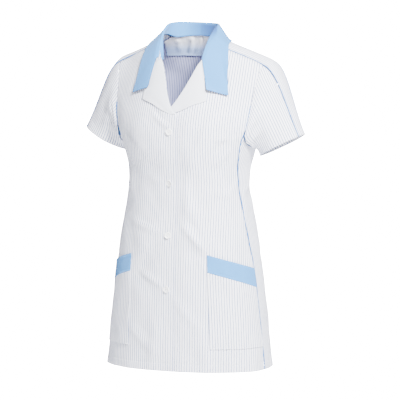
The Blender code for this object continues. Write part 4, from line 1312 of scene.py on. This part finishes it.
def pocket_grid(side, from_share, to_share, rows, out):
    """A pocket's stretch: share 0 is its bottom, 1 the band's lower edge and 2 the slanted top."""
    sizes = POCKETS[side_name(side)]
    across = close_ends(40, (0.0, 0.006, 0.016, 0.03))[None, :]
    share = blend(from_share, to_share, rows)[:, None]
    top = blend(sizes["top_inner"], POCKET_TOP_SIDE, across)
    under_band = top - blend(BAND_INNER, BAND_SIDE, across)
    z = np.where(share > 1, blend(under_band, top, share - 1), blend(POCKET_BOTTOM, under_band, share))
    high = (z - POCKET_BOTTOM) / (sizes["top_inner"] - POCKET_BOTTOM)
    start = angle_at(blend(sizes["inner_bottom"], sizes["inner_top"], high), z)
    end = shifted(seam_angle(z, "front", side), z, -(SEAM_HALF + POCKET_SEAM_INSET))
    angle = blend(start, end, across)
    far = lengths(plain_body(angle, z))
    near = np.minimum(far, far[:, -1:] - far)
    middle = np.sin(math.pi * across)
    out = out + POCKET_GAPE * middle * ease(POCKET_GAPE_FROM, sizes["top_inner"], z)
    out = out + sizes["wave"] * middle**2 * np.sin(math.pi * np.clip(high, 0, 1))
    out = out + small_creases(side * angle, z) + pressed(near, POCKET_STITCH)
    out = out + pucker(near, z, *POCKET_PUCKER)
    if to_share < 1:
        out = out + hem_relief(z - POCKET_BOTTOM, POCKET_STITCH)
    corner = angle_at(sizes["inner_bottom"], np.full_like(z[:1], POCKET_BOTTOM))
    return body(side * angle, z, out), around(angle, z, corner)


def pockets():
    """Patch pockets sewn on along three edges, each with its slanted band."""
    for side in (-1, 1):
        name = side_name(side)
        rows = close_ends(34, (0.0, 0.004, 0.010, 0.018))
        grid, far = pocket_grid(side, 0.0, 0.999, rows, LAID)
        grid = cloth_piece(f"pocket_{name}_cloth", grid, far + EDGE_STRIPE, STRIPED, side < 0)
        for edge in ("start", "end", "low"):
            stitches(f"pocket_{name}_{edge}_stitching", *line_in(grid, edge, POCKET_STITCH), side)
        rows = close_ends(12, (0.0, 0.012, 0.03, 0.045))
        grid, far = pocket_grid(side, 0.995, 2.0, rows, LAID + BAND_OVER_POCKET)
        grid = cloth_piece(f"pocket_band_{name}_cloth", grid, far, BLUE, side < 0, BAND_THIN)
        for edge in ("low", "top"):
            line, sides = line_in(grid, edge, BAND_STITCH)
            stitches(f"pocket_band_{name}_{edge}_stitching", line, sides, side, BLUE_THREAD_LOOK)


def rolled_edge(top, low):
    """The roll's half turn from a lapel's first column of points down to the front's edge under it."""
    first = top[:, 0]
    radius = np.linalg.norm(first - low, axis=1)[:, None] / 2
    upward = unit(first - low)
    inward = -unit(top[:, 3] - first)
    inward = unit(inward - upward * np.sum(inward * upward, axis=1)[:, None])
    turns = np.radians(np.linspace(-LAPEL_ROLL_TURN, LAPEL_ROLL_TURN, 9))
    arc = [(first + low) / 2 + radius * (upward * math.sin(turn) + inward * math.cos(turn)) for turn in turns]
    return np.stack(arc, axis=1)


def lapels():
    """The lapels: the plain facing rolled over the front's edge and laid on the front."""
    table = np.linspace(0, 1, len(LAPEL["roll_z"]))
    over = np.concatenate([np.linspace(0.02, 0.94, 34), (0.965, 0.985, 1.0)])
    arch = 1 - ((over - LAPEL_ARCH_AT) / LAPEL_ARCH_HALF) ** 2
    top_lift = np.maximum(LAPEL_LIFT * arch, LAPEL_LIFT_LEAST)
    for side in (-1, 1):
        name = side_name(side)
        rows = np.linspace(LAPEL_STARTS[name], 1, 74)
        x, z = lapel_places(rows, table, over, side)
        angle = angle_at(x, z)
        ripple = LAPEL_RIPPLE * np.sin(9 * rows)[:, None] * over[None, :] ** 2
        lift = top_lift[None, :] * blend(LAPEL_AT_BREAK, 1.0, ease(0.0, 0.35, rows))[:, None] + ripple
        under = 0.5 * front_out(angle, z, side)
        top = body(side * angle, z, lift + under + small_creases(side * angle, z) * 0.5)
        low = body(side * angle[:, 0], z[:, 0], under[:, 0])
        grid = np.concatenate([rolled_edge(top, low), top], axis=1)
        made = cloth_piece(f"lapel_{name}_cloth", grid, lengths(grid), WHITE, side < 0, LAPEL_THIN)
        line, sides = line_in(made[LAPEL_BARE_ROWS:], "end", EDGE_STITCH)
        stitches(f"lapel_{name}_stitching", line, sides, side)


def fine_collar_half(side):
    """One half of the collar at a fine step, its leaf a little curled along the free edge."""
    corner = len(COLLAR["seam"]) - 2
    end = corner + np.concatenate([np.linspace(0, 1, 20)[1:-1], (0.975, 0.99, 1.0)])
    at = np.concatenate([np.linspace(0, corner, corner * 12 + 1), end])
    knots = np.arange(len(COLLAR["seam"]))

    seam, fold, edge = (
        np.stack([smooth(knots, column, at) for column in zip(*COLLAR[name])], axis=1)
        for name in ("seam", "fold", "edge")
    )
    straight = points_at(at, knots, np.array(COLLAR["edge"]))
    edge[at > corner] = straight[at > corner]
    toward_front = ease(*COLLAR_TO_FRONT, at)
    if side > 0:
        edge[:, 0] += COLLAR_LEFT_LEAF * toward_front
    else:
        for row in (seam, fold, edge):
            row[:, 0] -= COLLAR_RIGHT_IN * toward_front
        fold[:, 0] += COLLAR_FOLD_OUT * toward_front
    outwards = unit((fold - COLLAR_MIDDLE) * np.array((1.0, 1.0, 0.0)))
    upwards = np.array((0.0, 0.0, 1.0))
    radius = COLLAR_FOLD_RADIUS
    middle = fold + (outwards - upwards) * radius
    stand_top = middle - outwards * radius
    half = [blend(seam, stand_top, part) for part in np.linspace(0, COLLAR_STAND_TO, COLLAR_STAND_ROWS)]
    for turn in np.radians(np.linspace(0, COLLAR_FOLD_TURN, COLLAR_FOLD_ROWS)):
        half.append(middle + radius * (upwards * math.sin(turn) - outwards * math.cos(turn)))
    fold_rows = len(half)
    leaf_parts = np.concatenate([np.linspace(0.05, 0.93, 26), (0.955, 0.975, 0.99, 1.0)])
    half += [blend(half[-1], edge, part) for part in leaf_parts]
    half = np.stack(half, axis=1)
    leaf = np.concatenate([np.zeros(fold_rows), leaf_parts])
    free = -1.0
    clearance = np.full(half.shape[:2], free)
    clearance[:, fold_rows - COLLAR_FOLD_HELD : fold_rows] = COLLAR_OFF_FOLD
    rise = blend(COLLAR_OFF_BACK, COLLAR_OFF_FRONT, ease(*COLLAR_RISES, at))[:, None]
    wave = COLLAR_WAVE * np.sin(COLLAR_WAVE_TURN * at + side)[:, None] * leaf[None, :]
    clearance[:, fold_rows:] = (rise + wave)[:, fold_rows:]
    return clear_of_body(half, clearance)


def collar():
    """The collar in one shell, stitched near its free edge."""
    left = fine_collar_half(1)
    right = mirrored(fine_collar_half(-1)[1:][::-1], -1)
    grid = np.concatenate([right, left])
    made = cloth_piece("collar_cloth", grid, lengths(grid), COLLAR_LOOK, True, COLLAR_THIN)
    leaf = made[:, COLLAR_STAND_ROWS + COLLAR_FOLD_ROWS + 1 :]
    for edge, grid, ends in (("end", made, 5), ("low", leaf, 2), ("top", leaf, 2)):
        line, sides = line_in(grid, edge, EDGE_STITCH)
        name = "collar_edge_stitching" if edge == "end" else f"collar_{edge}_stitching"
        stitches(name, line[ends:-ends], sides[ends:-ends], -1, BLUE_THREAD_LOOK)


def turned(name, profile, steps):
    """A button's shape turned round +Z from its section."""
    mesh = bpy.data.meshes.new(name)
    points = [(out, 0.0, up) for out, up in profile]
    mesh.from_pydata(points, [(at, at + 1) for at in range(len(points) - 1)], [])
    mesh.materials.append(BUTTON_LOOK)
    thing = bpy.data.objects.new(name, mesh)
    tunic.objects.link(thing)
    turn = thing.modifiers.new("turn", "SCREW")
    turn.axis = "Z"
    turn.steps = turn.render_steps = steps
    turn.use_merge_vertices = True
    turn.merge_threshold = 0.00005
    return thing


def button_mesh():
    """A pressed button with a raised rim, a dished face and four holes right through."""
    blank = turned("button_blank", [(BUTTON_RADIUS * out, BUTTON_THICK * up) for out, up in BUTTON_FACE], 72)
    through = ((0.0, 0.01), (HOLE_RADIUS, 0.01), (HOLE_RADIUS, -0.01), (0.0, -0.01))
    drills = []
    for across, up in ((-1, -1), (-1, 1), (1, -1), (1, 1)):
        drill = turned("drill", through, 20)
        drill.location = (across * HOLE_APART, up * HOLE_APART, 0.0)
        drill.hide_render = True
        cut = blank.modifiers.new("hole", "BOOLEAN")
        cut.object = drill
        cut.operation = "DIFFERENCE"
        drills.append(drill)
    bpy.context.view_layer.update()
    made = bpy.data.meshes.new_from_object(blank.evaluated_get(bpy.context.evaluated_depsgraph_get()))
    made.shade_smooth()
    made.set_sharp_from_angle(angle=math.radians(40))
    for old in (blank, *drills):
        bpy.data.objects.remove(old)
    return made


def button_place(height):
    """Where a button lies clear of the cloth under it, and the outward side there."""
    quarter = 6
    turn = np.arange(4 * quarter) * math.pi / (2 * quarter)
    z = height + BUTTON_RADIUS * np.sin(turn)
    angle = angle_at(BUTTON_RADIUS * np.cos(turn), z)
    ring = leant(body(angle, z, BUTTON_SEAT + small_creases(angle, z)))
    middle = ring.mean(axis=0)
    side = unit(np.cross(ring[0] - ring[2 * quarter], ring[quarter] - ring[3 * quarter]))
    return middle + side * ((ring - middle) @ side).max(), side


def button_thread(number, place):
    """Two bars of three threads each, from hole to hole over a button's face."""
    for row in (-1, 1):
        for fibre in (-1, 0, 1):
            bar = []
            for part in np.linspace(-1, 1, 9):
                dip = THREAD_DIP * max(abs(part) - THREAD_OVER, 0) / (1 - THREAD_OVER)
                up = BUTTON_THICK * FACE_HEIGHT + THREAD_RISE * math.cos(part * math.pi / 2) - dip
                across = part * (HOLE_APART + THREAD_PAST_HOLE)
                bar.append((across, row * HOLE_APART + fibre * THREAD_APART, up, 1.0))
            line = (place @ np.array(bar).T).T[:, :3]
            cord(f"button_{number}_thread", line, THREAD_RADIUS, THREAD_LOOK)


def buttons():
    """Four buttons sewn on with two bars of thread, each over its buttonhole."""
    shared = button_mesh()
    turn = np.linspace(0, 2 * math.pi, 60)
    hole_x = BUTTONHOLE_HALF * np.sin(turn)
    for number, height in enumerate(BUTTON_HEIGHTS, start=1):
        place, ahead = button_place(height)
        button = placed(f"sewn_button_{number}", shared)
        button.location = place
        button.rotation_euler = (math.pi / 2 - math.atan2(ahead[2], -ahead[1]), 0.0, BUTTON_TURNS[number - 1])
        bpy.context.view_layer.update()
        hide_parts(f"button_{number}")
        button_thread(number, np.array(button.matrix_world))
        hole_z = height + 0.5 * BUTTONHOLE * np.cos(turn)
        angle = angle_at(hole_x, hole_z)
        ring = leant(body(angle, hole_z, BUTTONHOLE_SEAT + small_creases(angle, hole_z)))
        cord(f"buttonhole_{number}", ring, BUTTONHOLE_RADIUS, THREAD_LOOK)


def stage():
    """A plain pale floor far below, soft studio light and the camera at the photograph's angle."""
    bpy.ops.mesh.primitive_plane_add(size=FLOOR_SIZE, location=(0.0, 0.0, FLOOR_Z))
    floor = bpy.context.object
    floor.name = "floor"
    made, tree, shader = new_material("pale floor", FLOOR, 1.0)
    shader.inputs["Specular IOR Level"].default_value = 0.0
    shader.inputs["Emission Color"].default_value = linear(FLOOR)
    place = add_node(tree, "ShaderNodeNewGeometry").outputs["Position"]
    glow = FLOOR_GLOW
    for way, near, far in GLOW_EDGES:
        along = add_node(tree, "ShaderNodeVectorMath", {0: place, 1: way}, operation="DOT_PRODUCT")
        glow = maths(tree, "MULTIPLY", ramp(tree, along.outputs["Value"], near, far), glow)
    tree.links.new(maths(tree, "ADD", glow, FLOOR_PALE), shader.inputs["Emission Strength"])
    floor.data.materials.append(made)

    world = bpy.data.worlds.new("studio")
    world.use_nodes = True
    sky = world.node_tree.nodes["Background"]
    sky.inputs["Color"].default_value = linear(SKY)
    sky.inputs["Strength"].default_value = SKY_STRENGTH
    bpy.context.scene.world = world

    for name, place, size, power in LIGHTS:
        lamp = bpy.data.lights.new(name, "AREA")
        lamp.shape = "SQUARE"
        lamp.size = size
        lamp.energy = power
        thing = bpy.data.objects.new(name, lamp)
        bpy.context.scene.collection.objects.link(thing)
        thing.location = place
        aim = Vector(LIGHTS_AIM) - Vector(place)
        thing.rotation_euler = aim.to_track_quat("-Z", "Y").to_euler()

    right = np.array((math.cos(AZIMUTH), math.sin(AZIMUTH), 0.0))
    level = np.array((math.sin(AZIMUTH), -math.cos(AZIMUTH), 0.0))
    toward = level * math.cos(ELEVATION) + np.array((0.0, 0.0, math.sin(ELEVATION)))
    centre = right * CENTRE_RIGHT + np.cross(toward, right) * CENTRE_UP
    lens = bpy.data.cameras.new("camera")
    lens.lens = LENS_MM
    lens.sensor_width = SENSOR_MM
    lens.clip_end = 1000.0
    camera = bpy.data.objects.new("camera", lens)
    bpy.context.scene.collection.objects.link(camera)
    camera.location = centre + toward * FRAME_WIDTH * LENS_MM / SENSOR_MM
    camera.rotation_euler = (-Vector(toward)).to_track_quat("-Z", "Y").to_euler()
    bpy.context.scene.camera = camera


tunic = bpy.data.collections.new("medical tunic")
bpy.context.scene.collection.children.link(tunic)
STRIPED = striped_material("striped cloth look", STRIPED_GROUND, STRIPE)
PAINTED_SHADE_INSIDE_LOOK = striped_material("striped cloth wrong side", PAINTED_SHADE_INSIDE_GROUND, PAINTED_SHADE_INSIDE_STRIPE)
FACING_LOOK = facing_material()
COLLAR_LOOK = collar_material()
COLLAR_PAINTED_SHADE = cloth_material("collar underside painted shade look", PAINTED_SHADE_BLUE)
WHITE = cloth_material("white cloth look", WHITE_CLOTH)
BLUE = cloth_material("blue cloth look", BLUE_CLOTH)
CORD_LOOK = plain_material("covered cord look", CORD, 0.75, 0.1)
THREAD_LOOK = plain_material("thread look", THREAD, 0.6, 0.2)
BLUE_THREAD_LOOK = plain_material("blue thread look", BLUE_THREAD, 0.6, 0.2)
UNDERARM_CORD_PAINTED_SHADE_LOOK = plain_material("underarm cord painted shade look", SHADED_CORD, 0.8, 0.0)
BUTTON_LOOK = button_material()
PAINTED_SHADE_SIDES = dict.fromkeys(SHADED_INSIDE, PAINTED_SHADE_INSIDE_LOOK)
PAINTED_SHADE_SIDES["collar"] = COLLAR_PAINTED_SHADE
RINGS = armhole_ring()
fronts()
side_panels()
back_panel()
neck_facing()
sleeves()
strips()
cords()
pockets()
lapels()
collar()
buttons()
stage()
